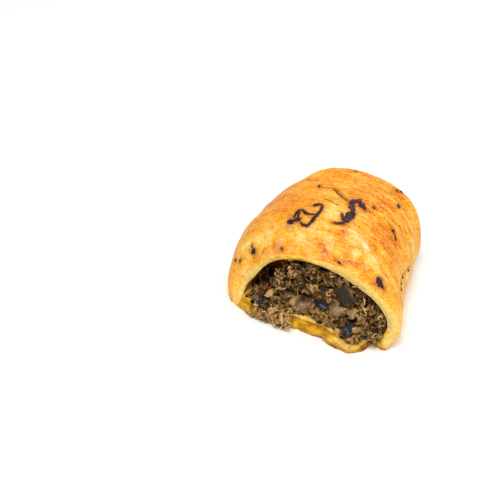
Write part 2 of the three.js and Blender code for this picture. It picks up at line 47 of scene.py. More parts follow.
# ---- the roll's dimensions, as in the part's source (mm) ----
ROLL_AT = np.array([3.22, 3.34, 0.0])  # the roll's own middle, from the frame's origin
ROLL_LENGTH = 53.5
CUT_BIAS = math.radians(12.8)
MIDDLE = 0.4
HALF_WIDTH_LEFT = (34.9, 36.4, 25.0)
HALF_WIDTH_RIGHT = (31.0, 27.8, 28.3)
CREST_HEIGHT = (25.3, 33.5, 33.8)
SWELL_AT = 0.39
CREST_LEAN = 4.2
SECTION_POWER_LEFT = 0.85
SECTION_POWER_RIGHT = 0.9
SECTION_POWER_UP = (0.9, 0.73)
BASE_TUCK_LEFT = 1.2
BASE_TUCK_RIGHT = (4.4, 1.8)
BASE_TUCK_HEIGHT = 4.5
BASE_TUCK_RATE = 4  # and the right tuck is as at the rear from a quarter on
SEAM_LOBES = ((0.31, 0.16, 1.4), (0.70, 0.06, 0.95), (0.95, 0.06, 0.9))
SEAM_HEIGHT = 2.6
CUT_LEAN = 3.0
RELIEF = ((0.14, 0.52, -3.7, 1.1), (0.10, 1.05, 6.3, 0.0))
SWELLS = (0.3, 0.21, 2.2, 3.1, 0.7)
EDGE_ROUND = 5.0
EDGE_DROP_LEFT = 4.0
EDGE_DROP_TOP = 0.5
EDGE_DROP_RIGHT = 0.7
EDGE_DROP_REAR = 0.8
WALL_LEFT = 7.0
WALL_TOP = 2.0
WALL_RIGHT = 3.9
WALL_LOBES = ((0.15, 0.3, 1.1), (1.12, 0.42, 1.6), (2.45, 0.3, 1.3))
REAR_WALL_EXTRA = 0.9
REAR_WALL_RATE = 3  # the wall is at its thickest from a third of the length on
FLOOR = 3.0
FLAP = 1.9
FLAP_EDGE = 7.5
FLAP_SLOPE = 5.5
TONGUE = 5.3
TONGUE_LOBES = ((12.5, 9.0, 4.4), (-22.5, 5.5, 1.9))
TONGUE_MIDDLE = -4.0
TONGUE_HALF = 32.0
TONGUE_FADE = 0.26
TONGUE_FROM = 2.5
TONGUE_OVER = 5.5
NOTCH_AT = 21.0
NOTCH_DEPTH = 4.4
NOTCH_WIDTH = 2.0
FILL_OUT = 4.2
FILL_SLOPE = 6.0
FILL_SLOPE_POWER = 1.6
FILL_BACK = 1.2
SPILL_MIDDLE = -4.0
SPILL_HALF = 30.0
SPILL_FROM = (4, 8)
FURTHER_FROM = (6, 4)
SPILL_LOBES = ((-15.2, 6.6, 4.4), (12.5, 5.5, 3.4))
HEAP_HALF = 27.5  # half the opening's width at the leading cut, and its height
HEAP_TOP = 23.3
HEAP_SHADE = 1.4  # how much lower and darker things lie under the crust there
# The heap's edge beside the hollow, as places (x, z) on the leading face.
HEAP_EDGE = ((-27.0, 1.0), (-25.9, 2.6), (-24.7, 5.2), (-23.0, 6.6), (-18.5, 9.2),
             (-15.8, 11.4), (-13.8, 14.8), (-12.2, 18.4), (-9.8, 29.0))
VOID_EDGE = 5.0  # height over which the face falls into the hollow
VOID_DEPTH = 15.0
VOID_SHARE = 0.25  # share of the fall that lies below the heap's edge
REAR_BACK = 1.6
REAR_SLOPE = 2.2
REAR_HEIGHT = 30  # where the rear face has leant in by REAR_SLOPE
FRONT_PHASE = 0.4
REAR_PHASE = 2.1
DEEPEST_PIECE = 4.0
SETTLED = 1.3

# ---- how finely the crust is made ----
ARCH_STEPS = 250
BASE_STEPS = 100
OUTSIDE_ROWS = 190
CAVITY_ROWS = 44
CUT_ROWS = 16
CUT_PUFF = 0.45
ARCH_EASE = 0.08  # how unevenly the steps lie round the arch
LENGTH_EASE = 0.055  # and along the roll

# ---- camera ----
CAMERA_AT = (61.62, -330.41, 237.2)  # mm
CAMERA_TURN = math.radians(15.58)  # about Z, from looking along +Y
CAMERA_DOWN = math.radians(33.0)
LENS = 85.0

# ---- studio, in m and W ----
LAMPS_AIM = (0, 0, 0.015)
LAMPS = (
    ("key", (-0.1, -0.35, 0.85), 0.5, 6.9, (1.0, 0.98, 0.95)),
    ("fill", (0.65, -0.45, 0.45), 0.6, 3.0, (1.0, 1.0, 1.0)),
    ("back", (0.1, 0.7, 0.6), 0.5, 2.6, (1.0, 1.0, 1.0)),
)
WORLD_STRENGTH = 0.36
FLOOR_HALF = 3.0


# ---- numbers ----
def smooth(x):
    x = np.clip(x, 0, 1)
    return x * x * (3 - 2 * x)


def bump(x):
    return np.exp(-np.square(x))


def fade(x, start, over):
    """From 0 at start to 1 where x is over further on."""
    return smooth((x - start) / over)


def peak(x, middle, reach):
    return bump((x - middle) / reach)


def stack(*columns):
    """Columns side by side along a new last axis."""
    return np.stack(np.broadcast_arrays(*columns), axis=-1)


def eased(share):
    return share - ARCH_EASE * np.sin(2 * np.pi * share)


def lobes(x, table):
    return sum(out * peak(x, at, reach) for at, reach, out in table)


def signed_power(x, power):
    return np.sign(x) * np.abs(x) ** power


def three_way(v, values):
    """A smooth curve through three values: at the leading cut, at MIDDLE and at the rear cut."""
    front, middle, rear = values
    return (
        front * (v - MIDDLE) * (v - 1) / MIDDLE
        + middle * v * (v - 1) / (MIDDLE * (MIDDLE - 1))
        + rear * v * (v - MIDDLE) / (1 - MIDDLE)
    )


def lattice(x, y, z, seed):
    """A fixed random number from -1 to 1 for each whole-number place."""
    n = x.astype(np.uint32) * np.uint32(0x8DA6B343)
    n = n ^ (y.astype(np.uint32) * np.uint32(0xD8163841))
    n = n ^ (z.astype(np.uint32) * np.uint32(0xCB1AB31F))
    n = n + np.uint32((seed * 0x9E3779B9) & 0xFFFFFFFF)
    n = (n ^ (n >> np.uint32(15))) * np.uint32(0x2C1B3C6D)
    n = (n ^ (n >> np.uint32(12))) * np.uint32(0x297A2D39)
    n = n ^ (n >> np.uint32(15))
    return n.astype(np.float64) / 2147483648.0 - 1.0


def noise(points, seed=0):
    """Smooth noise from -1 to 1 at points, one swell to a unit of length."""
    base = np.floor(points).astype(np.int64)
    part = points - base
    ease = part * part * (3 - 2 * part)
    total = np.zeros(points.shape[:-1])
    for corner in range(8):
        step = [(corner >> axis) & 1 for axis in range(3)]
        weight = np.ones(points.shape[:-1])
        for axis in range(3):
            weight = weight * (ease[..., axis] if step[axis] else 1 - ease[..., axis])
        total += weight * lattice(*(base[..., axis] + step[axis] for axis in range(3)), seed)
    return total


def fractal(points, octaves, seed=0):
    """Noise with finer and weaker noise on it."""
    total = np.zeros(points.shape[:-1])
    for octave in range(octaves):
        total += noise(points * 2.0**octave, seed + octave) / 2.0**octave
    return total


def relief(points, layers):
    """Layers of noise, each with its height and its grain in mm, its octaves and its seed."""
    return sum(height * fractal(points / grain, octaves, seed)
               for height, grain, octaves, seed in layers)


def unit(vectors):
    return vectors / np.maximum(np.linalg.norm(vectors, axis=-1, keepdims=True), 1e-9)


# ---- the roll's form ----
def crest_height(v):
    front, top, rear = CREST_HEIGHT
    rise = 1 - (1 - np.clip(v / SWELL_AT, 0, 1)) ** 2
    fall = np.clip((v - SWELL_AT) / (1 - SWELL_AT), 0, 1) ** 2
    return front + (top - front) * rise + (rear - top) * fall


def round_arch(t, left, top, right):
    """A value that has its own size on the left flank, on top and on the right flank."""
    side = np.cos(t)
    return top + np.where(side < 0, left - top, right - top) * side * side


def round_off(distance):
    return 1 - np.sqrt(1 - np.clip(1 - distance / EDGE_ROUND, 0, 1) ** 2)


def edge_drop(v, t):
    drop = round_arch(t, EDGE_DROP_LEFT, EDGE_DROP_TOP, EDGE_DROP_RIGHT)
    rear = EDGE_DROP_REAR * round_off((1 - v) * ROLL_LENGTH)
    return drop * round_off(v * ROLL_LENGTH) + rear


def wall(v, t):
    extra = lobes(t, WALL_LOBES) + REAR_WALL_EXTRA * smooth(v * REAR_WALL_RATE)
    return round_arch(t, WALL_LEFT, WALL_TOP, WALL_RIGHT) + extra


def crust_relief(v, t):
    along = v * ROLL_LENGTH
    height, per_length, per_turn, second_per_turn, phase = SWELLS
    swell = height * np.sin(along * per_length + per_turn * t) * np.sin(t * second_per_turn + phase)
    for size, length, turn, start in RELIEF:
        swell = swell + size * np.sin(along * length + turn * t + start)
    return swell


def outside_inset(v, t):
    return edge_drop(v, t) - crust_relief(v, t) * smooth(np.sin(t) * 2)


def tongue(x):
    spread = np.clip(1 - ((x - TONGUE_MIDDLE) / TONGUE_HALF) ** 4, 0, 1)
    notch = NOTCH_DEPTH * peak(x, NOTCH_AT, NOTCH_WIDTH)
    return (TONGUE + lobes(x, TONGUE_LOBES)) * spread - notch


def along_roll(v, x, z):
    lean = CUT_LEAN * (1 - v) ** 2
    run = tongue(x) * (1 - fade(z, TONGUE_FROM, TONGUE_OVER)) * (1 - smooth(v / TONGUE_FADE))
    return ROLL_LENGTH * (v - 0.5) - x * math.tan(CUT_BIAS) + lean * z / CREST_HEIGHT[0] - run


def up_power(v):
    return SECTION_POWER_UP[0] + (SECTION_POWER_UP[1] - SECTION_POWER_UP[0]) * v


def foot_tuck(v, z, on_right):
    seam = lobes(v, SEAM_LOBES) * bump(z / SEAM_HEIGHT)
    front, rear = BASE_TUCK_RIGHT
    right = (front + (rear - front) * smooth(v * BASE_TUCK_RATE)) * bump(z / BASE_TUCK_HEIGHT) - seam
    return np.where(on_right, right, BASE_TUCK_LEFT * bump(z / BASE_TUCK_HEIGHT))


def arch_point(v, t, inset):
    side = np.cos(t)
    half = np.where(side > 0, three_way(v, HALF_WIDTH_RIGHT), three_way(v, HALF_WIDTH_LEFT))
    power = np.where(side > 0, SECTION_POWER_RIGHT, SECTION_POWER_LEFT)
    lift = signed_power(np.sin(t), up_power(v))
    z = (crest_height(v) - inset) * lift
    x = (half - inset) * signed_power(side, power) + CREST_LEAN * lift * v
    return x - np.sign(side) * foot_tuck(v, z, side > 0), z


def foot_angle(v, inset, base):
    return np.arcsin(np.clip(base / (crest_height(v) - inset), 0, 1) ** (1 / up_power(v)))


def floor_height(x):
    return FLOOR + FLAP * (1 - fade(x, FLAP_EDGE, FLAP_SLOPE))


def sections(v, inset, base_height, arch_steps, base_steps):
    """Closed sections, one row for each v: an array of points, row by row, with the arch first."""
    v = np.asarray(v, float)[:, None]
    start = foot_angle(v, inset(v, 0.0), base_height(HALF_WIDTH_RIGHT[0]))
    end = math.pi - foot_angle(v, inset(v, math.pi), base_height(-HALF_WIDTH_LEFT[0]))
    share = np.linspace(0, 1, arch_steps + 1)[None, :]
    t = start + (end - start) * eased(share)
    x, z = arch_point(v, t, inset(v, t))
    across = np.linspace(0, 1, base_steps + 1)[None, 1:-1]
    base_x = x[:, -1:] + (x[:, :1] - x[:, -1:]) * across
    x = np.hstack([x, base_x])
    z = np.hstack([z, base_height(base_x) + 0 * base_x])
    return stack(x, along_roll(v, x, z), z)


# ---- meshes ----
def add_object(name, data):
    thing = bpy.data.objects.new(name, data)
    bpy.context.scene.collection.objects.link(thing)
    return thing


def make_piece(name, points, faces, material, attributes=None):
    """A smooth mesh object from points in mm, on the root body."""
    mesh = bpy.data.meshes.new(name)
    mesh.from_pydata(((points + ROLL_AT) * MM).tolist(), [], faces)
    mesh.validate()
    mesh.polygons.foreach_set("use_smooth", [True] * len(mesh.polygons))
    for key, values in (attributes or {}).items():
        layer = mesh.attributes.new(key, "FLOAT", "POINT")
        layer.data.foreach_set("value", np.asarray(values, np.float32).ravel())
    mesh.materials.append(material)
    piece = add_object(name, mesh)
    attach(piece, "root")
    return piece


def torus_faces(rows, columns):
    """Quads over a grid that closes on itself both ways."""
    here = np.arange(rows * columns).reshape(rows, columns)
    below = np.roll(here, -1, axis=0)
    corners = (here, np.roll(here, -1, axis=1), np.roll(below, -1, axis=1), below)
    return stack(*corners).reshape(-1, 4).tolist()


def grid_normals(grid):
    """The outward normals of such a grid."""
    along = np.roll(grid, -1, axis=0) - np.roll(grid, 1, axis=0)
    across = np.roll(grid, -1, axis=1) - np.roll(grid, 1, axis=1)
    return unit(np.cross(along, across))


# ---- crust ----
# The paths below follow the photo. Their points were picked in it by eye as pixels, a scratch
# solver turned most of them into (v, t), and some were moved by hand after that. The pixels aren't
# kept here, so these places can't be worked out again from this file.

# Scorched scraps of cabbage stuck to the crust: widths in mm at both ends, and a path.
SCORCHES = [
    (2.1, 2.0, [(0.184, 1.910), (0.226, 1.907)]),
    (0.8, 1.3, [(0.216, 1.893), (0.220, 1.862), (0.222, 1.836)]),
    (1.4, 1.3, [(0.236, 1.852), (0.210, 1.826)]),
    (0.7, 0.8, [(0.230, 1.888), (0.268, 1.884), (0.305, 1.874), (0.323, 1.853)]),
    (0.9, 0.5, [(0.323, 1.853), (0.305, 1.822), (0.274, 1.780), (0.278, 1.744), (0.284, 1.706)]),
    (0.6, 0.6, [(0.232, 1.846), (0.259, 1.857), (0.293, 1.844)]),
    (0.9, 0.8, [(0.206, 1.815), (0.184, 1.778), (0.181, 1.738), (0.203, 1.721), (0.246, 1.703),
                (0.307, 1.686), (0.370, 1.684), (0.409, 1.690), (0.430, 1.703)]),
    (1.0, 1.1, [(0.424, 1.700), (0.431, 1.717), (0.407, 1.745), (0.385, 1.768)]),
    (0.4, 1.2, [(0.253, 1.565), (0.258, 1.529), (0.270, 1.484), (0.293, 1.461)]),
    (1.5, 2.1, [(0.290, 1.466), (0.342, 1.448), (0.393, 1.430), (0.445, 1.423)]),
    (0.7, 0.9, [(0.383, 1.529), (0.349, 1.510), (0.304, 1.485)]),
    (1.5, 1.3, [(0.440, 1.425), (0.504, 1.468), (0.544, 1.482), (0.580, 1.470), (0.588, 1.445)]),
    (1.7, 2.1, [(0.582, 1.455), (0.584, 1.420), (0.576, 1.388)]),
    (2.1, 0.9, [(0.578, 1.400), (0.560, 1.345), (0.534, 1.305)]),
    (1.3, 1.5, [(0.548, 1.410), (0.556, 1.370)]),
    (0.9, 0.7, [(0.940, 1.073), (0.941, 1.027)]),
    (0.8, 0.6, [(0.970, 1.009), (0.978, 0.965)]),
    (0.7, 0.6, [(0.595, 1.243), (0.600, 1.193)]),
    (1.1, 1.0, [(0.790, 0.945), (0.812, 0.912)]),
    (1.2, 0.8, [(0.556, 0.862), (0.531, 0.828)]),
    (0.5, 0.4, [(0.532, 0.820), (0.501, 0.744)]),
    (0.5, 0.4, [(0.957, 1.617), (0.953, 1.594)]),
    (0.8, 0.6, [(0.676, 1.864), (0.668, 1.846)]),
    (1.5, 1.4, [(0.052, 2.352), (0.026, 2.312)]),
    (0.4, 0.5, [(0.074, 2.338), (0.056, 2.345)]),
    (0.7, 0.6, [(0.034, 2.600), (0.037, 2.565)]),
    (0.5, 0.4, [(0.070, 2.688), (0.052, 2.668)]),
    (0.6, 0.5, [(0.025, 1.941), (0.017, 1.923)]),
    (0.6, 0.4, [(0.022, 1.412), (0.014, 1.376)]),
    (0.5, 2.3, [(0.041, 0.798), (0.048, 0.845), (0.055, 0.885)]),
    (1.3, 1.3, [(0.036, 0.920), (0.056, 0.888), (0.078, 0.860)]),
    (0.7, 0.6, [(0.540, 0.312), (0.544, 0.290)]),
    (0.8, 0.6, [(0.380, 0.400), (0.388, 0.380)]),
    (0.7, 0.5, [(0.300, 0.415), (0.306, 0.398)]),
    (0.6, 0.5, [(0.275, 0.382), (0.280, 0.366)]),
]
# Cracks and creases: width and depth in mm, and a path. Inside they are painted dark, the deeper the darker:
# painted shade.
SLITS = [
    (0.30, 0.20, [(0.671, 1.857), (0.658, 1.749), (0.656, 1.687)]),
    (0.80, 0.60, [(0.656, 1.687), (0.624, 1.645), (0.596, 1.607), (0.574, 1.573), (0.555, 1.536)]),
    (0.35, 0.22, [(0.501, 1.703), (0.485, 1.639), (0.472, 1.591)]),
    (0.30, 0.20, [(0.576, 1.038), (0.567, 0.961), (0.556, 0.870)]),
    (0.30, 0.20, [(0.016, 2.190), (0.036, 2.150)]),
    (0.30, 0.12, [(0.791, 2.123), (0.778, 2.045)]),
    (0.25, 0.12, [(0.930, 1.137), (0.986, 1.033)]),
    (0.40, 0.16, [(0.620, 0.270), (0.540, 0.325), (0.395, 0.400), (0.309, 0.425), (0.250, 0.380)]),
]
# A paler streak along a ridge of the crust, which the relief also raises: a painted highlight on its crest.
PALE_RIDGE = [(0.242, 1.346), (0.213, 1.272), (0.198, 1.205), (0.180, 1.139), (0.161, 1.108),
              (0.148, 1.036), (0.137, 0.995), (0.121, 0.929), (0.105, 0.889), (0.096, 0.794)]
PALE_CREST = [(0.190, 1.175), (0.165, 1.110)]  # where that ridge is broadest
PALE_STREAKS = ((0.52, 0.8, PALE_RIDGE), (0.36, 1.4, PALE_CREST))  # amount, reach and path
RIDGE_HEIGHT = 0.32
RIDGE_REACH = 1.2
# Where the crust is browner (or paler, when negative): reach in mm, amount, and a path.
BROWNING = [
    (7.0, 0.12, [(0.245, 2.288), (0.417, 2.091)]),
    (7.0, 0.10, [(0.559, 2.288)]),
    (2.2, 0.26, [(0.055, 2.010), (0.040, 1.975)]),
    (2.0, 0.28, [(0.078, 1.605), (0.060, 1.580)]),
    (1.9, 0.24, [(0.166, 1.435)]),
    (1.6, 0.28, [(0.089, 1.340)]),
    (1.8, 0.30, [(0.031, 1.357)]),
    (1.6, 0.38, [(0.048, 1.248)]),
    (1.8, 0.34, [(0.054, 1.168), (0.034, 1.129)]),
    (1.4, 0.24, [(0.028, 1.553)]),
    (1.5, 0.26, [(0.025, 1.457)]),
    (1.5, 0.20, [(0.032, 1.006)]),
    (2.8, 0.16, [(0.385, 1.070), (0.326, 0.892), (0.290, 0.690)]),
    (8.0, 0.06, [(0.631, 1.257)]),
    (6.0, 0.12, [(0.768, 1.143), (0.735, 0.993), (0.716, 0.830)]),
    (3.4, -0.22, [(0.104, 2.476), (0.087, 2.205), (0.114, 1.992), (0.090, 1.820)]),
    (3.0, -0.22, [(0.359, 1.613)]),
    (1.8, -0.40, [(0.064, 1.461)]),
    (1.4, -0.44, [(0.019, 1.172)]),
    (1.8, -0.30, [(0.154, 1.611)]),
    (1.6, -0.32, [(0.020, 1.606)]),
    (1.8, -0.26, [(0.225, 1.341)]),
    (1.4, -0.30, [(0.114, 1.234)]),
    (5.0, -0.14, [(0.697, 0.783), (0.678, 0.506), (0.509, 0.461)]),
    (5.0, -0.08, [(0.891, 2.032)]),
]
# Dark toasted spots on the lower front edge of the base: x and reach in mm.
EDGE_SPOTS = [(3.3, 0.8), (8.3, 1.3), (18.0, 0.9)]
ARC_RADIUS = 30.0  # mm of crust to a radian of t, more or less


def crust_point(v, t):
    """Places on the crust's outside, before its fine relief."""
    x, z = arch_point(v, t, outside_inset(v, t))
    return stack(x, along_roll(v, x, z), z)


def path_points(path):
    return crust_point(*np.array(path).T)


def distance_to_path(points, path):
    """How far points are from a path of (v, t) places on the crust, in mm."""
    nodes = path_points(path)
    nearest = np.linalg.norm(points - nodes[0], axis=-1)
    for a, b in zip(nodes[:-1], nodes[1:]):
        span = b - a
        k = np.clip(((points - a) @ span) / (span @ span), 0, 1)
        nearest = np.minimum(nearest, np.linalg.norm(points - a - k[..., None] * span, axis=-1))
    return nearest


def cut_rows(edge, other, out, step_profile):
    """The rows of a cut face between two edges. out is -1 at the leading cut and 1 at the rear."""
    share = np.linspace(0, 1, CUT_ROWS + 2)[1:-1, None]
    rows = edge[None] + (other - edge)[None] * share[..., None]
    rows[..., 1] += out * CUT_PUFF * 4 * share * (1 - share)
    if step_profile:
        on_base = np.zeros(edge.shape[0])
        on_base[ARCH_STEPS + 1:] = 1
        across = np.clip((np.arange(edge.shape[0]) - ARCH_STEPS) / BASE_STEPS, 0, 1)
        on_base *= smooth(across / 0.08) * fade(1, across, 0.08)
        stepped = base_step(edge, other, share)
        rows += (stepped - rows) * on_base[None, :, None]
    return rows


# The front of the two-layer base, from the floor's edge down to the underside: shares of the way
# down, of the height and of the run forward.
STEP_SHARE = (0.0, 0.14, 0.28, 0.38, 0.46, 0.56, 0.70, 0.86, 1.0)
STEP_HEIGHT = (1.0, 0.98, 0.86, 0.68, 0.62, 0.585, 0.45, 0.16, 0.0)
STEP_RUN = (0.0, 0.30, 0.46, 0.36, 0.34, 0.80, 1.08, 1.07, 1.0)
ROUND_RUN = (0.0, 0.4, 0.75, 0.95, 1.02, 1.08, 1.1, 1.07, 1.0)


def base_step(edge, other, share):
    height = np.interp(share, STEP_SHARE, STEP_HEIGHT)
    layered = 1 - smooth((edge[:, 0] - FLAP_EDGE) / FLAP_SLOPE)
    run = np.interp(share, STEP_SHARE, ROUND_RUN)
    run = run + (np.interp(share, STEP_SHARE, STEP_RUN) - run) * layered[None, :]
    rows = edge[None] + (other - edge)[None] * share[..., None]
    rows[..., 1] = edge[None, :, 1] + (other - edge)[None, :, 1] * run
    rows[..., 2] = edge[None, :, 2] * height
    return rows


# The stretches of the crust's skin, in the order in which the grid runs through them.
OUTER, REAR_CUT, CAVITY, FRONT_CUT = range(4)
CUTS = (REAR_CUT, FRONT_CUT)


def crust_grid():
    """The crust's skin as a grid closed both ways, with v, t and the zone of each point."""
    ends = np.linspace(0, math.pi, OUTSIDE_ROWS)
    v_out = np.linspace(0, 1, OUTSIDE_ROWS) - LENGTH_EASE * np.sin(2 * ends)
    v_in = np.linspace(1, 0, CAVITY_ROWS)
    outside = sections(v_out, outside_inset, lambda x: 0.0 * x, ARCH_STEPS, BASE_STEPS)
    cavity = sections(v_in, wall, floor_height, ARCH_STEPS, BASE_STEPS)
    rear = cut_rows(outside[-1], cavity[0], 1, False)
    front = cut_rows(cavity[-1], outside[0], -1, True)
    grid = np.concatenate([outside, rear, cavity, front])
    v = np.concatenate([v_out, np.ones(CUT_ROWS), v_in, np.zeros(CUT_ROWS)])[:, None]
    share = np.linspace(0, 1, CUT_ROWS + 2)[1:-1]
    cut = np.concatenate([np.zeros(OUTSIDE_ROWS), share, np.ones(CAVITY_ROWS), 1 - share])[:, None]
    rows = (OUTSIDE_ROWS, CUT_ROWS, CAVITY_ROWS, CUT_ROWS)
    zone = np.repeat((OUTER, REAR_CUT, CAVITY, FRONT_CUT), rows)[:, None]
    full = np.ones((grid.shape[0], grid.shape[1]))
    arch_share = np.linspace(0, 1, ARCH_STEPS + 1)
    t = np.full(grid.shape[1], math.pi * 1.5)
    t[:ARCH_STEPS + 1] = math.pi * eased(arch_share)
    return grid, v * full, t[None, :] * full, cut * full, zone * full


# Layers of noise for relief: height and grain in mm, octaves and seed.
SKIN_SWELLS = ((0.24, 9.0, 3, 11), (0.10, 2.4, 3, 17))
CRUMB_GRAIN = ((0.10, 1.6, 3, 41), (0.05, 0.5, 1, 43))
CAVITY_BUMPS = ((0.25, 4.0, 3, 47),)
BASE_BUMPS = ((0.05, 3.0, 2, 53),)
TORN_EDGE = ((0.55, 3.4, 1, 61), (0.3, 1.1, 1, 67), (0.12, 0.45, 1, 71))
# And for colour, with an amount in place of the height.
BLOTCHES = ((0.12, 12.0, 3, 83),)
MASK_EDGE = ((0.5, 1.8, 1, 89),)
PALE_FLAKES = ((1.0, 2.2, 3, 101),)
# Wrinkles that run over the arch: swells to a mm along the roll and round the arch, and a seed.
WRINKLES = (0.62, 0.055, 23)
FINE_WRINKLES = (1.7, 0.13, 29)


def streaks(along, arc, kind, bend=0.0):
    """Noise drawn out round the arch, from -1 to 1."""
    per_along, per_arc, seed = kind
    return noise(stack(along * per_along, arc * per_arc, 0 * arc) + bend, seed)


def crust_detail(grid, v, t, zone):
    """Swells, blisters, wrinkles and tears of the crust, as a height along its normal."""
    on_arch = t <= math.pi
    outside = (zone == OUTER) & on_arch
    arc = t * ARC_RADIUS
    along = v * ROLL_LENGTH
    swell = relief(grid, SKIN_SWELLS)
    bend = 0.25 * noise(grid / 5, 3)[..., None]
    pulled = 1 - np.abs(streaks(along, arc, WRINKLES, bend)) * 2
    fine = streaks(along, arc, FINE_WRINKLES)
    right = pull(v, t)
    wrinkles = right * (0.17 * pulled + 0.07 * fine) + (1 - right) * 0.03 * fine
    ridge = RIDGE_HEIGHT * bump(distance_to_path(grid, PALE_RIDGE) / RIDGE_REACH)
    height = np.where(outside, swell + wrinkles + ridge, 0.0)
    for width, depth, path in SLITS:
        gap = distance_to_path(grid, path)
        lip = 0.5 * depth * bump((gap - width * 1.6) / width)
        height += np.where(outside, lip - depth * bump(gap / (width * 0.7)), 0)
    height += np.where(np.isin(zone, CUTS), relief(grid, CRUMB_GRAIN), 0)
    height += np.where(zone == CAVITY, relief(grid, CAVITY_BUMPS), 0)
    base = ~on_arch & (zone == OUTER)
    height += np.where(base, relief(grid, BASE_BUMPS), 0)
    folds = 1 - 2 * np.abs(noise(grid / (1.6, 5.0, 2.6), 57))
    creased = (zone == FRONT_CUT) & ~on_arch
    height += np.where(creased, 0.30 * folds * smooth((-12 - grid[..., 0]) / 5), 0)
    return height


def pull(v, t):
    """How strongly the dough is drawn into wrinkles that run over the arch, from 0 to 1."""
    return smooth((2.1 - t) / 0.9) * smooth((v * ROLL_LENGTH - 1) / 8)


def ragged_edge(grid, v, t, zone):
    """How far the torn edge of the base runs forward or back."""
    near = np.where(zone == OUTER, 1 - smooth(v / 0.09), np.where(zone == FRONT_CUT, 1, 0))
    near = near * np.where(t > math.pi, 1, 1 - smooth(grid[..., 2] / 5))
    x = grid[..., 0]
    row = np.stack([x, 0 * x, 0.12 * grid[..., 2]], axis=-1)
    return near * relief(row, TORN_EDGE)


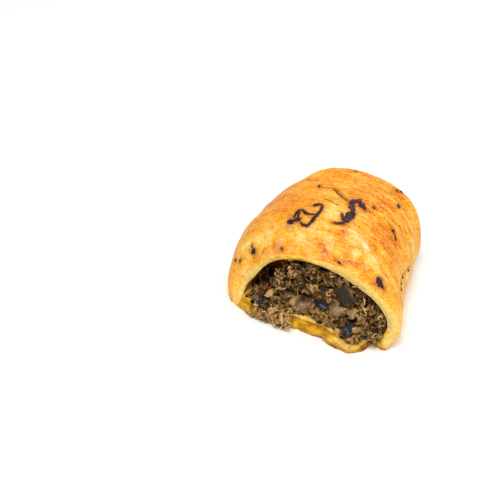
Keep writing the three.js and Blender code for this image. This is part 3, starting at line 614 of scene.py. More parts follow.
def crust_masks(grid, v, t, cut, zone):
    """Where the crust is browned, cut, oily, toasted, pale or dark, from 0 to 1."""
    x, y, z = np.moveaxis(grid, -1, 0)
    on_arch = t <= math.pi
    outside = (zone == OUTER) & on_arch
    from_front = v * ROLL_LENGTH
    from_rear = (1 - v) * ROLL_LENGTH
    level = z / 33.0
    bake = 0.43 + 0.20 * smooth(level * 1.3) - 0.10 * bump(z / 5.0)
    bake -= 0.10 * smooth((round_off(from_front) - 0.45) / 0.45) + 0.16 * bump(from_rear / 2.0)
    bake += 0.04 * fade(t, 1.7, 0.4) * bump(from_front / 4.5)
    bake += relief(grid, BLOTCHES)
    torn = relief(grid, MASK_EDGE)
    for reach, amount, path in BROWNING:
        bake += amount * bump(np.maximum(distance_to_path(grid, path) / reach + torn, 0))
    pale = np.zeros_like(v)
    # The streaks along the ridge are a painted highlight; the flakes below are the crust's own pale flakes.
    for amount, reach, path in PALE_STREAKS:
        pale += amount * bump(np.maximum(distance_to_path(grid, path) / reach + 0.8 * torn, 0))
    flakes = peak(v, 0.11, 0.11) * peak(t, 1.75, 0.65)
    pale += 0.6 * flakes * smooth((relief(grid, PALE_FLAKES) + 0.05) / 0.6)
    bake = np.where(outside, bake, np.where(np.isin(zone, CUTS) & on_arch, 0.34, 0.25))
    # Cracks are painted dark, the deeper the darker: painted shade. Round scorched scraps and on toasted
    # spots the crust is browner.
    scorch_and_crack_shade = np.zeros_like(v)
    for width, depth, path in SLITS:
        dark = smooth(depth / 0.4 + 0.2)
        scorch_and_crack_shade = np.maximum(scorch_and_crack_shade, dark * bump(distance_to_path(grid, path) / width))
    scorch_and_crack_shade = np.where(outside, scorch_and_crack_shade, 0)
    for first, last, path in SCORCHES:
        reach = SCRAP_SPREAD * (first + last) / 4 + 0.4
        scorch = 0.7 * bump(distance_to_path(grid, path) / reach)
        scorch_and_crack_shade = np.where(outside, np.maximum(scorch_and_crack_shade, scorch), scorch_and_crack_shade)
    front_base = (zone == FRONT_CUT) & ~on_arch
    rim = (zone == FRONT_CUT) & on_arch
    oil = np.where(front_base, 0.3 + 0.7 * smooth((0.93 - cut) / 0.14), 0.0)
    oily_foot = 0.85 * smooth((10.0 - z) / 6) * fade(cut, 0.6, 0.35)
    ochre = peak(t, 1.90, 0.30) * smooth(cut / 0.3)
    ochre += 0.4 * fade(t, 2.1, 0.3) * peak(cut, 0.12, 0.12)
    yellow = 0.5 * peak(t, 1.30, 0.18) * peak(cut, 0.5, 0.3)
    oil = np.where(rim, np.maximum(oily_foot, np.maximum(ochre, yellow)), oil)
    oil = np.where(zone == CAVITY, 1.0, oil)
    # The lip is the cream inner edge of the rim's cut. On the base's front it is a painted highlight along
    # the flap's top edge and on a second ridge halfway down at the right.
    lip = np.where(rim, smooth((1.75 - t) / 0.1) * fade(cut, 0.84, 0.1) * fade(z, 6, 4), 0)
    ridge = peak(cut, 0.80, 0.07) * smooth((x + 15) / 4) * fade(7, x, 4)
    lip = np.where(front_base, 0.5 * ridge + 0.35 * peak(x, 13, 5) * peak(cut, 0.55, 0.25), lip)
    for at_x, reach in EDGE_SPOTS:
        spot = bump(np.hypot(x - at_x, 1.3 * (z - 0.7)) / reach + 0.4 * torn)
        scorch_and_crack_shade = np.where(front_base, np.maximum(scorch_and_crack_shade, spot), scorch_and_crack_shade)
    skin = 0.10 + 0.08 * fade(t, 1.4, 0.4) + 0.16 * fade(t, 2.1, 0.35)
    skin = np.where(on_arch, skin, 0.12)
    under = np.where(~on_arch & (zone == OUTER), 1.0, 0.0)
    toast = np.where((zone != CAVITY) & (v < 0.5), smooth((1.4 - z) / 1.2) * smooth((0.2 - v) / 0.1), 0)
    toast = toast * smooth(0.6 + noise(stack(x / 3.0, z / 3.0, y / 9.0), 103))
    crumb = np.where(zone == CAVITY, 1.0, smooth((cut - skin - 0.05 * torn) / 0.22))
    worn_foot = 0.75 * smooth((0.6 - t) / 0.3) * bump(from_front / 2.2)
    return {
        "bake": np.clip(bake, 0, 1),
        "cut": np.where(outside, np.maximum(crumb, worn_foot), crumb),
        "lip": lip,
        "oil": np.clip(oil, 0, 1),
        # Deeper in, the cavity's inside is painted lighter than the oily dough at its mouth: painted light
        # to make up for the cavity's shade.
        "inner": np.where(zone == CAVITY, smooth(v / 0.06), 0.0),
        "under": np.maximum(under, toast),
        "pale": np.clip(np.where(outside, pale, 0), 0, 1),
        "scorch_and_crack_shade": np.where(outside | front_base, scorch_and_crack_shade, 0),
        "pull": np.where(outside, 0.25 + 0.75 * pull(v, t), 0),
        "along": v * ROLL_LENGTH,
        "arc": t * ARC_RADIUS,
    }


def make_crust(material):
    grid, v, t, cut, zone = crust_grid()
    grid[..., 1] -= ragged_edge(grid, v, t, zone)
    masks = crust_masks(grid, v, t, cut, zone)
    grid += grid_normals(grid) * crust_detail(grid, v, t, zone)[..., None]
    grid[..., 2] = np.maximum(grid[..., 2], 0.0)
    faces = torus_faces(*grid.shape[:2])
    piece = make_piece("crust_dough", grid.reshape(-1, 3), faces, material, masks)
    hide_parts("crust")


# ---- materials ----
COAT_ROUGHNESS = 0.25


def srgb(red, green, blue):
    """A colour given as seen, from 0 to 255, in the linear numbers that a shader takes."""
    def linear(c):
        c /= 255
        return c / 12.92 if c <= 0.04045 else ((c + 0.055) / 1.055) ** 2.4

    return (linear(red), linear(green), linear(blue), 1.0)


class Nodes:
    """A material's node tree, with a method for each kind of node that it needs."""

    def __init__(self, name):
        self.material = bpy.data.materials.new(name)
        self.material.use_nodes = True
        self.tree = self.material.node_tree
        place = self.node("TexCoord", "Object", {})
        self.place = self.node("VectorMath", 0, {0: place, "Scale": 1 / MM}, operation="SCALE")

    def feed(self, node, values):
        """Links or sets each of a node's inputs."""
        for key, value in values.items():
            if isinstance(value, bpy.types.NodeSocket):
                self.tree.links.new(value, node.inputs[key])
            else:
                node.inputs[key].default_value = value

    def node(self, kind, output, inputs, **settings):
        """An output of a new node. The settings come first, as they choose its inputs."""
        node = self.tree.nodes.new("ShaderNode" + kind)
        for key, value in settings.items():
            setattr(node, key, value)
        self.feed(node, inputs)
        return node.outputs[output]

    def noise(self, size, detail=4.0, roughness=0.55, distortion=0.0, place=None):
        """Noise from 0 to 1 whose swells are about size mm across."""
        return self.node("TexNoise", "Fac", {
            "Vector": place or self.place, "Scale": 1 / size, "Detail": detail,
            "Roughness": roughness, "Distortion": distortion})

    def squash(self, across, along, up):
        """The object's own coordinates in mm, each times a number."""
        factors = (across, along, up)
        return self.node("VectorMath", 0, {0: self.place, 1: factors}, operation="MULTIPLY")

    def combine(self, x, y):
        return self.node("CombineXYZ", "Vector", {"X": x, "Y": y})

    def attribute(self, name):
        return self.node("Attribute", "Fac", {}, attribute_name=name)

    def math(self, operation, a, b, clamp):
        return self.node("Math", 0, {0: a, 1: b}, operation=operation, use_clamp=clamp)

    def plus(self, a, b, clamp=False):
        return self.math("ADD", a, b, clamp)

    def minus(self, a, b, clamp=False):
        return self.math("SUBTRACT", a, b, clamp)

    def times(self, a, b, clamp=False):
        return self.math("MULTIPLY", a, b, clamp)

    def around_zero(self, value, amount):
        """A noise from 0 to 1 as one that is amount wide, around 0."""
        return self.times(self.minus(value, 0.5), amount)

    def stretch(self, value, low, high, to_low=0.0, to_high=1.0):
        """value from low to high becomes to_low to to_high, and stops there."""
        return self.node("MapRange", "Result", {
            "Value": value, "From Min": low, "From Max": high, "To Min": to_low,
            "To Max": to_high}, interpolation_type="SMOOTHSTEP")

    def mix(self, share, a, b):
        return self.node("Mix", "Result", {"Factor": share, "A": a, "B": b}, data_type="RGBA")

    def ramp(self, value, stops):
        """A colour for each value. A stop is its place and its red, green and blue."""
        node = self.tree.nodes.new("ShaderNodeValToRGB")
        elements = node.color_ramp.elements
        while len(elements) < len(stops):
            elements.new(0.5)
        for element, (place, *colour) in zip(elements, stops):
            element.position = place
            element.color = srgb(*colour)
        self.feed(node, {"Fac": value})
        return node.outputs["Color"]

    def bump(self, height, depth, below=None):
        """A bump of depth mm where height goes from 0 to 1."""
        inputs = {"Strength": 1.0, "Distance": depth * MM, "Height": height}
        if below is not None:
            inputs["Normal"] = below
        return self.node("Bump", "Normal", inputs)

    def finish(self, colour, roughness, normal, soft=0.0, soft_radius=(1.0, 0.5, 0.2), coat=0.0,
               specular=0.22):
        self.feed(self.tree.nodes["Principled BSDF"], {
            "Base Color": colour, "Roughness": roughness, "Normal": normal,
            "Subsurface Weight": soft, "Subsurface Radius": soft_radius, "Subsurface Scale": MM,
            "Specular IOR Level": specular, "Coat Weight": coat,
            "Coat Roughness": COAT_ROUGHNESS})
        return self.material


def crust_material():
    """Egg-washed baked dough: golden, mottled orange and brown, with a pale crumb where cut."""
    n = Nodes("baked_crust")
    cloud = n.noise(5.0, 6, 0.68, distortion=0.9)
    mottle = n.noise(1.5, 5, 0.7, distortion=0.6)
    grain = n.noise(0.62, 3, 0.7)
    skin = n.combine(n.attribute("along"), n.times(n.attribute("arc"), 0.11))
    streak = n.plus(n.noise(0.8, 4, 0.6, place=skin), n.noise(2.0, 3, 0.6, place=skin))
    streak = n.times(n.minus(streak, 1.0), n.attribute("pull"))
    brown = n.attribute("bake")
    for spots, amount in ((cloud, 0.95), (mottle, 1.0), (grain, 1.0)):
        brown = n.plus(brown, n.around_zero(spots, amount))
    brown = n.plus(brown, n.times(streak, 1.2))
    colour = n.ramp(brown, [
        (0.00, 246, 216, 152), (0.22, 243, 196, 104), (0.40, 239, 178, 64), (0.56, 234, 160, 31),
        (0.74, 227, 139, 9), (0.90, 216, 116, 4), (1.00, 190, 88, 6)])
    fleck = n.stretch(n.noise(0.55, 2, 0.6), 0.56, 0.68)
    fleck = n.times(fleck, n.stretch(cloud, 0.4, 0.7, 0.7, 0.2))
    colour = n.mix(fleck, colour, srgb(250, 222, 160))
    # Pale flakes of the crust, and a painted highlight along its ridge.
    flakes_and_ridge_highlight = n.times(n.attribute("pale"), n.stretch(mottle, 0.34, 0.60), clamp=True)
    colour = n.mix(flakes_and_ridge_highlight, colour, srgb(252, 228, 168))
    crumb = n.ramp(n.noise(1.1, 4, 0.6), [
        (0.25, 204, 166, 80), (0.50, 225, 193, 106), (0.75, 236, 211, 134)])
    oily = n.ramp(n.noise(2.0, 5, 0.65, place=n.squash(0.45, 0.6, 1.7)), [
        (0.28, 112, 72, 4), (0.42, 182, 130, 10), (0.56, 216, 164, 26), (0.70, 246, 210, 104)])
    # Colour deep inside the cavity, painted light to make up for its shade.
    inner = n.ramp(n.noise(3.0, 4, 0.6), [(0.3, 196, 136, 46), (0.7, 236, 182, 84)])
    toasted = n.ramp(n.noise(0.9, 4, 0.6), [
        (0.30, 90, 40, 14), (0.52, 190, 118, 38), (0.75, 228, 168, 74)])
    # Cream for the rim's inner edge, and a painted highlight on the base's front.
    lip = srgb(242, 222, 164)
    for mask, over in (("cut", crumb), ("oil", oily), ("lip", lip), ("inner", inner), ("under", toasted)):
        colour = n.mix(n.attribute(mask), colour, over)
    # Painted shade in the cracks, and browner crust round scorched scraps and on toasted spots.
    scorch_and_crack_shade = n.times(n.attribute("scorch_and_crack_shade"), n.stretch(mottle, 0.2, 0.6, 0.6, 1.0))
    colour = n.mix(scorch_and_crack_shade, colour, srgb(112, 42, 10))
    gloss = n.stretch(n.attribute("bake"), 0.2, 0.8, 0.55, 0.42)
    gloss = n.plus(gloss, n.around_zero(mottle, 0.3))
    gloss = n.plus(gloss, n.times(n.attribute("cut"), 0.15))
    gloss = n.minus(gloss, n.times(n.attribute("oil"), 0.28), clamp=True)
    normal = n.bump(grain, 0.07)
    normal = n.bump(mottle, 0.22, normal)
    normal = n.bump(streak, 0.25, normal)
    return n.finish(colour, gloss, normal, soft=0.05, soft_radius=(1.2, 0.5, 0.15), specular=0.14)


def plain_material(name, stops, roughness, size=1.0, depth=0.1, coat=0.0, soft=0.0):
    """A mottled material whose colour also follows each piece's own tone."""
    n = Nodes(name)
    tone = n.plus(n.attribute("tone"), n.around_zero(n.noise(size, 4, 0.6), 0.9))
    gloss = n.stretch(n.noise(size * 1.7, 3), 0.3, 0.7, roughness - 0.12, roughness + 0.12)
    normal = n.bump(n.noise(size * 0.5, 4), depth)
    return n.finish(n.ramp(tone, stops), gloss, normal, coat=coat, soft=soft)


# ---- scorched scraps on the crust ----
SCRAP_STEP = 0.35  # mm between the rows of a scrap
SCRAP_ACROSS = np.linspace(-1, 1, 7)
SCRAP_RISE = 0.3
SCRAP_SINK = 0.35
SCRAP_SPREAD = 1.7
RAGGED = 0.35  # share by which the sides of scraps and shreds wander
SMALL_STEP = 0.004  # of v or t


def slab_faces(rows, columns, start=0):
    """Faces of a thin closed sheet whose points are its top grid and then its bottom grid."""
    here = np.arange(rows * columns).reshape(rows, columns)
    top = stack(here[:-1, :-1], here[:-1, 1:], here[1:, 1:], here[1:, :-1]).reshape(-1, 4)
    edge = np.concatenate([here[0, :-1], here[:-1, -1], here[-1, :0:-1], here[:0:-1, 0]])
    after = np.roll(edge, -1)
    under = rows * columns
    sides = stack(after, edge, edge + under, after + under)
    return np.concatenate([top, top[:, ::-1] + under, sides]) + start


def crust_steps(v, t):
    """Places on the crust's outside, and from there a small step along v and one along t."""
    at = crust_point(v, t)
    return at, crust_point(v + SMALL_STEP, t) - at, crust_point(v, t + SMALL_STEP) - at


def crust_place(v, t):
    """Places on the crust's finished outside, and the directions out of it."""
    at, along, around = crust_steps(v, t)
    out = unit(np.cross(along, around))
    return at + out * crust_detail(at, v, t, np.full_like(v, OUTER))[..., None], out


def crust_scale(v, t):
    """Millimetres of crust to a unit of v and to a radian of t, at each place."""
    _, *steps = crust_steps(v, t)
    return stack(*(np.linalg.norm(step, axis=-1) for step in steps)) / SMALL_STEP


def even_path(path):
    """The path at even steps of about SCRAP_STEP mm, with its corners rounded."""
    nodes = np.array(path)
    run = np.linalg.norm(np.diff(path_points(path), axis=0), axis=1)
    place = np.concatenate([[0], np.cumsum(run)])
    count = max(5, int(place[-1] / SCRAP_STEP))
    even = np.linspace(0, place[-1], count)
    line = np.stack([np.interp(even, place, nodes[:, axis]) for axis in range(2)], axis=-1)
    for _ in range(3):
        line[1:-1] = (line[:-2] + 2 * line[1:-1] + line[2:]) / 4
    return line, place[-1]


def scrap_points(first, last, path, seed):
    """One scorched scrap: a crinkled closed strip along a path on the crust."""
    line, length = even_path(path)
    width = np.linspace(first, last, len(line))
    scale = crust_scale(line[:, 0], line[:, 1])
    heading = unit(np.gradient(line, axis=0) * scale)
    k = np.linspace(-1, 1, len(line))
    blunt = 2 + 3 * min(1, length / max(first, last) / 4)
    half = SCRAP_SPREAD * width / 2 * np.sqrt(np.clip(1 - np.abs(k) ** blunt, 0.02, 1))
    row = stack(k * length / 1.1, 0 * k, 0 * k)
    left = half * (1 + RAGGED * noise(row, seed))
    right = half * (1 + RAGGED * noise(row, seed + 1))
    across = np.where(SCRAP_ACROSS < 0, left[:, None], right[:, None]) * SCRAP_ACROSS
    v = np.maximum(line[:, :1] - heading[:, 1:] * across / scale[:, :1], 0.002)
    t = line[:, 1:] + heading[:, :1] * across / scale[:, 1:]
    at, out = crust_place(v, t)
    crinkle = 1 + 0.7 * noise(at / 0.6, seed + 2)
    rise = SCRAP_RISE * crinkle * (1 - SCRAP_ACROSS**4) * np.sqrt(np.clip(1 - k**6, 0, 1))[:, None]
    top = at + out * (rise - 0.03)[..., None]
    fringe = 0.5 * np.abs(SCRAP_ACROSS) ** 3 + 0.45 * noise(at / 1.1, seed + 3)
    points = np.concatenate([top.reshape(-1, 3), (at - out * SCRAP_SINK).reshape(-1, 3)])
    return points, 0.22 + np.concatenate([fringe.ravel(), fringe.ravel()]), at.shape[:2]


def make_scraps():
    points, tones, faces, total = [], [], [], 0
    for seed, (first, last, path) in enumerate(SCORCHES):
        scrap, tone, (rows, columns) = scrap_points(first, last, path, 200 + 5 * seed)
        faces += slab_faces(rows, columns, total).tolist()
        total += len(scrap)
        points.append(scrap)
        tones.append(tone)
    tones = {"tone": np.concatenate(tones)}
    material = look("scorched_scraps")
    piece = make_piece("scorched_scraps", np.concatenate(points), faces, material, tones)
    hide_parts("crust")


# ---- filling ----
CORE_STEPS = 150
CORE_FACE_ROWS = 42
CORE_SIDE_ROWS = 24
CORE_STATIONS = 60
CORE_SINK = 1.1  # how far the core lies behind the loose pieces
CORE_BEHIND = 2.0  # its sides start this far behind the leading face
CORE_START = (0.06, 0.6)  # but within these shares of the length, and end at this one
CORE_END = 0.9
FACE_MIDDLE = 0.45  # height of a face's middle, as a share of the crest's height
GAP = 0.35
CAVITY_MIDDLE = 9.0  # height of the point that things in the cavity are drawn in towards
FOOT_GAP = 0.15  # loose things stay this far above the base
EDGE_GAP = 0.5  # or in front of it, where they hang out
LOWEST = 0.35  # and off the ground
SHRED_ROWS = 8
LEAF_ROWS = 13
LEAF_COLUMNS = 11
CLUMP_RADIUS = 3.3
CURL_THICKNESS = 0.16
# Broad curls on the clump: width in mm, and a path as x, turn round the base's edge, and how far
# out of the clump.
CLUMP_CURLS = (
    (1.7, ((-15.0, -0.1, 0.6), (-13.4, 0.25, 1.9), (-11.8, 0.7, 2.7), (-10.9, 1.1, 2.9), (-10.2, 1.5, 2.6))),
    (1.5, ((-17.6, 0.3, 0.4), (-16.4, 0.6, 1.3), (-15.0, 0.95, 1.9), (-14.2, 1.3, 1.6), (-14.0, 1.6, 1.0))),
    (1.3, ((-13.8, 0.9, 1.4), (-12.9, 1.2, 2.3), (-12.3, 1.5, 2.1), (-12.4, 1.8, 1.2))),
    (1.4, ((-16.6, -0.5, 0.6), (-15.2, -0.2, 1.3), (-13.8, 0.0, 1.3), (-12.6, 0.3, 0.8))),
)
CLUMP_AT = -13.2
CLUMP_SPREAD = 3.0
CLUMP_LINE = (2.2, 2.0)  # its middle: behind the base's edge, and height
CLUMP_FULLEST = -9.5  # where it hangs out furthest
FRINGE_X = (-23.0, -16.0)  # where only small bits cling to the base's edge


def lumps(x, z, phase):
    return (
        0.9 * np.sin(x * 0.42 + phase) * np.cos(z * 0.5 - phase)
        + 0.6 * np.sin(x * 0.93 - z * 0.55 + 2 * phase)
        + 0.35 * np.cos(x * 1.7 + z * 1.3 + phase)
    )


def front_depth(x, z, lumpy=1.0):
    """Depth of the filling's face behind the leading cut; negative where it spills out."""
    spread = np.clip(1 - ((x - SPILL_MIDDLE) / SPILL_HALF) ** 4, 0, 1)
    spill = FILL_OUT * (1 - fade(z, *SPILL_FROM)) * spread
    further = lobes(x, SPILL_LOBES) * (1 - fade(z, *FURTHER_FROM))
    slope = FILL_SLOPE * (np.maximum(z, 0) / CREST_HEIGHT[0]) ** FILL_SLOPE_POWER
    return FILL_BACK - spill - further + slope + hollow(x, z) + lumpy * lumps(x, z, FRONT_PHASE)


def hollow(x, z):
    """How much deeper the filling lies where it has sunk away, at the upper left."""
    above = z - np.interp(x, *zip(*HEAP_EDGE))
    return VOID_DEPTH * smooth(above / VOID_EDGE + VOID_SHARE)


def rear_depth(x, z, lumpy=1.0):
    return REAR_BACK + REAR_SLOPE * (z / REAR_HEIGHT) ** 2 + lumpy * lumps(x, z, REAR_PHASE)


def face_point(x, z, front, lumpy=1.0):
    cut = ROLL_LENGTH * (-0.5 if front else 0.5) - x * math.tan(CUT_BIAS)
    y = cut + front_depth(x, z, lumpy) if front else cut - rear_depth(x, z, lumpy)
    return stack(x, y, z)


def face_frames(x, z, front, lift):
    """Places lift mm out of the filling's face, and the directions across, up and out of it."""
    across = unit(face_point(x + 1, z, front, 0) - face_point(x - 1, z, front, 0))
    up = unit(face_point(x, z + 1, front, 0) - face_point(x, z - 1, front, 0))
    out = unit(np.cross(across, up)) * (1 if front else -1)
    return face_point(x, z, front) + out * lift[..., None], across, up, out


def fill_inset(v, t):
    return wall(v, t) + GAP + SETTLED * np.maximum(0, np.sin(t)) ** 2


def core_sides(dense, front_edge):
    """The core's skin behind the leading face, which lies at another depth in each column."""
    cut = -ROLL_LENGTH / 2 - front_edge[:, 0] * math.tan(CUT_BIAS)
    start = np.clip((front_edge[:, 1] - cut + CORE_BEHIND) / ROLL_LENGTH, *CORE_START)
    v = start + (CORE_END - start) * np.linspace(0, 1, CORE_SIDE_ROWS)[:, None]
    row = v * (CORE_STATIONS - 1)
    low = np.minimum(row.astype(int), CORE_STATIONS - 2)
    part = (row - low)[..., None]
    column = np.arange(dense.shape[1])[None, :]
    return dense[low, column] * (1 - part) + dense[low + 1, column] * part


def core_foot(x):
    return floor_height(x) + GAP


def make_core():
    """The dense middle of the filling, from one cut to the other."""
    half = CORE_STEPS * 2 // 3
    share = np.linspace(0.015, 1, CORE_FACE_ROWS)[:, None]
    rings = []
    for v, front in ((0.0, True), (1.0, False)):
        edge = sections([v], fill_inset, core_foot, half, CORE_STEPS - half)[0]
        middle = crest_height(v) * FACE_MIDDLE
        x = edge[None, :, 0] * share
        z = middle + (edge[None, :, 2] - middle) * share
        face = face_point(x, z, front)
        face[..., 1] += CORE_SINK if front else -CORE_SINK
        rings.append(face)
    dense = sections(np.linspace(0, 1, CORE_STATIONS), fill_inset, core_foot, half, CORE_STEPS - half)
    sides = core_sides(dense, rings[0][-1])
    grid = np.concatenate([rings[0], sides, rings[1][::-1]])
    rows, columns = grid.shape[:2]
    faces = [f for f in torus_faces(rows, columns) if max(f) - min(f) < (rows - 1) * columns]
    faces += [list(range(columns))[::-1], list(range((rows - 1) * columns, rows * columns))]
    rough = 0.35 * fractal(grid / 1.3, 4, 301)
    rough[CORE_FACE_ROWS:-CORE_FACE_ROWS] = 0
    grid = grid + grid_normals(grid) * rough[..., None]
    # Deep in the hollow the core's tone is raised: painted light to make up for the hollow's shade.
    deep = hollow(grid[..., 0], grid[..., 2]) / VOID_DEPTH * (grid[..., 1] < 0)
    tone = 0.3 + 0.3 * fractal(grid / 1.5, 3, 307) + 0.6 * deep
    points = grid.reshape(-1, 3)
    piece = make_piece("filling_core", points, faces, look("filling_core"), {"tone": tone})
    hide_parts("filling")


class Inside:
    """Keeps points inside the crust's cavity, and in front of its base where they hang out."""

    def __init__(self):
        self.v = np.linspace(0, 1, 14)
        self.angle = np.linspace(-0.5, math.pi + 0.5, 220)
        t = np.linspace(0.01, math.pi - 0.01, 400)[None, :]
        v = self.v[:, None]
        x, z = arch_point(v, t, wall(v, t) + GAP)
        angle, reach = self.polar(x, z)
        self.reach = np.array([np.interp(self.angle, a, r) for a, r in zip(angle, reach)])

    @staticmethod
    def polar(x, z):
        z = z - CAVITY_MIDDLE
        angle = np.arctan2(z, x)
        return np.where(angle < -math.pi / 2, angle + 2 * math.pi, angle), np.hypot(x, z)

    def keep(self, points):
        x, y, z = np.moveaxis(points, -1, 0)
        v = np.clip((y + x * math.tan(CUT_BIAS)) / ROLL_LENGTH + 0.5, 0, 1) * (len(self.v) - 1)
        low = np.minimum(v.astype(int), len(self.v) - 2)
        angle, here = self.polar(x, z)
        a = (angle - self.angle[0]) / (self.angle[1] - self.angle[0])
        a = np.clip(a, 0, len(self.angle) - 1.001)
        i = a.astype(int)
        part_v, part_a = v - low, a - i
        rows = [self.reach[low + r, i] * (1 - part_a) + self.reach[low + r, i + 1] * part_a
                for r in (0, 1)]
        limit = rows[0] * (1 - part_v) + rows[1] * part_v
        scale = np.minimum(1, limit / np.maximum(here, 1e-6))
        x, z = x * scale, CAVITY_MIDDLE + (z - CAVITY_MIDDLE) * scale
        edge = along_roll(0.0, x, 0.0 * x) - CUT_PUFF - EDGE_GAP
        rise = np.maximum(floor_height(x) + FOOT_GAP - z, 0)
        forward = np.maximum(y - edge, 0)
        up = rise < forward
        z = z + np.where(up, rise, 0)
        y = y - np.where(~up & (rise > 0), forward, 0)
        return stack(x, y, np.maximum(z, LOWEST))


def face_places(random, front, count):
    """Random places all over the filling's face, but not deep in the hollow."""
    v = 0.0 if front else 1.0
    t = np.pi * random.uniform(0.0, 1.0, count)
    edge_x, edge_z = arch_point(v, t, wall(v, t) + 0.8)
    share = np.sqrt(random.uniform(0.0, 1.0, count))
    x = edge_x * share
    foot = floor_height(x)
    z = foot + np.maximum(edge_z - foot, 0) * share + random.uniform(0, 1.2, count)
    shallow = hollow(x, z) < DEEPEST_PIECE if front else np.ones(count, bool)
    return x[shallow], z[shallow]


def clump_frames(random, count, fringe):
    """Places in the clump that hangs over the base's edge, with directions like a face's."""
    x = CLUMP_AT + CLUMP_SPREAD * np.clip(random.normal(0, 1, count), -2.0, 1.5)
    turn = random.uniform(-0.4, 1.75, count)
    further = random.uniform(-0.2, 2.8, count) * peak(x, CLUMP_FULLEST, 3.6)
    clinging = random.uniform(0, 1, count) < fringe
    x = np.where(clinging, random.uniform(*FRINGE_X, count), x)
    turn = np.where(clinging, 0.9 + 0.5 * np.abs(turn), turn)
    radius = CLUMP_RADIUS + np.where(clinging, -0.9, further)
    at, out = clump_place(x, turn, radius)
    across = np.tile([1.0, 0.0, 0.0], (count, 1))
    return at, across, np.cross(out, across), out


def clump_place(x, turn, radius):
    """Places that far round and out from a line inside the base's edge, and the ways out there."""
    out = stack(0 * x, -np.sin(turn), np.cos(turn))
    line = stack(x, along_roll(0.0, x, 0.0 * x) + CLUMP_LINE[0], CLUMP_LINE[1])
    return line + out * radius[:, None], out


def blunt(k):
    """A strip's width along its length, k from -0.5 to 0.5, as a share of the full one."""
    return np.sqrt(1.06 - np.abs(2 * k) ** 3)


def placed_curls():
    """The broad curls on top of the clump, as flattened tubes like the other shreds."""
    k = np.linspace(-0.5, 0.5, SHRED_ROWS)
    points = []
    for width, path in CLUMP_CURLS:
        even = np.linspace(-0.5, 0.5, len(path))
        x, turn, further = (np.interp(k, even, column) for column in zip(*path))
        at, out = clump_place(x, turn, CLUMP_RADIUS + further)
        side = unit(np.cross(np.gradient(at, axis=0), out))
        side, rise = side * (width / 2 * blunt(k))[:, None], CURL_THICKNESS * out
        points.append(np.stack([at + side, at + rise, at - side, at - rise], axis=1))
    return np.stack(points)


def under_leaf(x, z):
    """Whether places on the leading face lie under one of the placed leaves."""
    covered = np.zeros(len(x), bool)
    for leaf_x, leaf_z, long, wide, turn, *_ in PLACED_LEAVES + PLACED_DARK:
        side, rise = math.cos(math.radians(turn)), math.sin(math.radians(turn))
        a = side * (x - leaf_x) + rise * (z - leaf_z)
        b = side * (z - leaf_z) - rise * (x - leaf_x)
        covered |= (2 * a / long) ** 2 + (2 * b / wide) ** 2 < 0.85
    return covered


def all_frames(random, kind):
    """The places and directions of all the pieces of a kind, and how much they lie in the light."""
    sets = []
    for front, count in ((True, kind.front), (False, kind.rear)):
        x, z = face_places(random, front, count)
        lumpy = noise(stack(x / 2.3, z / 2.3, 0 * x + front), 521)
        near_arch = smooth((np.hypot(x / HEAP_HALF, z / HEAP_TOP) - 0.80) / 0.20) * fade(z, 8, 4)
        lumpy = lumpy - front * HEAP_SHADE * near_arch
        lift = kind.lift * random.uniform(-0.3, 1, len(x)) + 1.2 * lumpy
        if front:
            lift *= 1 - 0.6 * smooth((-16 - x) / 4) * fade(9, z, 4)
            hidden = under_leaf(x, z) & (random.uniform(0, 1, len(x)) < 0.9)
            lift = np.where(hidden, -0.9, lift)
        sets.append(face_frames(x, z, front, lift) + (lumpy,))
    sets.append(clump_frames(random, kind.clump, kind.fringe) + (np.full(kind.clump, 1.2),))
    return [np.concatenate(parts) for parts in zip(*sets)]


def shred_points(random, frames, kind):
    """Curled, twisted shreds as flattened tubes of four points a row."""
    at, across, up, out = frames
    n = len(at)

    def draw(spread):
        return random.normal(0, spread, (n, 1))

    k = np.linspace(-0.5, 0.5, SHRED_ROWS)[None, :]
    swing = np.sin(2 * np.pi * (k * random.uniform(0.6, 1.5, (n, 1)) + random.uniform(0, 1, (n, 1))))
    turn = random.uniform(0, 2 * np.pi, (n, 1))
    turn = turn + draw(kind.bend) * (2 * k) + draw(kind.bend) * 0.5 * swing
    rise = np.clip(draw(kind.tilt) + draw(kind.tilt) * 3 * k, -1.2, 1.2)
    flat = np.cos(turn)[..., None] * across[:, None] + np.sin(turn)[..., None] * up[:, None]
    way = np.cos(rise)[..., None] * flat + np.sin(rise)[..., None] * out[:, None]
    length = random.uniform(*kind.length, (n, 1))
    path = np.cumsum(way * (length / (SHRED_ROWS - 1))[..., None], axis=1)
    path += at[:, None] - path.mean(axis=1, keepdims=True)
    side = unit(np.cross(way, out[:, None]))
    facing = np.cross(side, way)
    roll = (draw(kind.roll) + draw(kind.roll) * 2 * k)[..., None]
    c, s = np.cos(roll), np.sin(roll)
    side, facing = c * side + s * facing, c * facing - s * side
    half = random.uniform(*kind.width, (n, 1)) / 2 * blunt(k)
    left = half * (1 + RAGGED * random.uniform(-1, 1, (n, SHRED_ROWS)))
    right = half * (1 + RAGGED * random.uniform(-1, 1, (n, SHRED_ROWS)))
    thick = kind.thick * random.uniform(0.6, 1.3, (n, SHRED_ROWS))
    ruffle = kind.ruffle * random.normal(0, 1, (2, n, SHRED_ROWS))
    corners = [
        path + side * left[..., None] + facing * ruffle[0][..., None],
        path + facing * thick[..., None],
        path - side * right[..., None] + facing * ruffle[1][..., None],
        path - facing * thick[..., None],
    ]
    return np.stack(corners, axis=2)


def tube_faces(count, rows):
    """Quads and end caps of closed tubes with four points a row."""
    a = np.arange(rows * 4).reshape(rows, 4)
    b = np.roll(a, -1, axis=1)
    tube = stack(a[:-1], b[:-1], b[1:], a[1:]).reshape(-1, 4)
    tube = np.concatenate([tube, [a[0, ::-1], a[-1]]])
    return (tube[None] + (np.arange(count) * rows * 4)[:, None, None]).reshape(-1, 4).tolist()


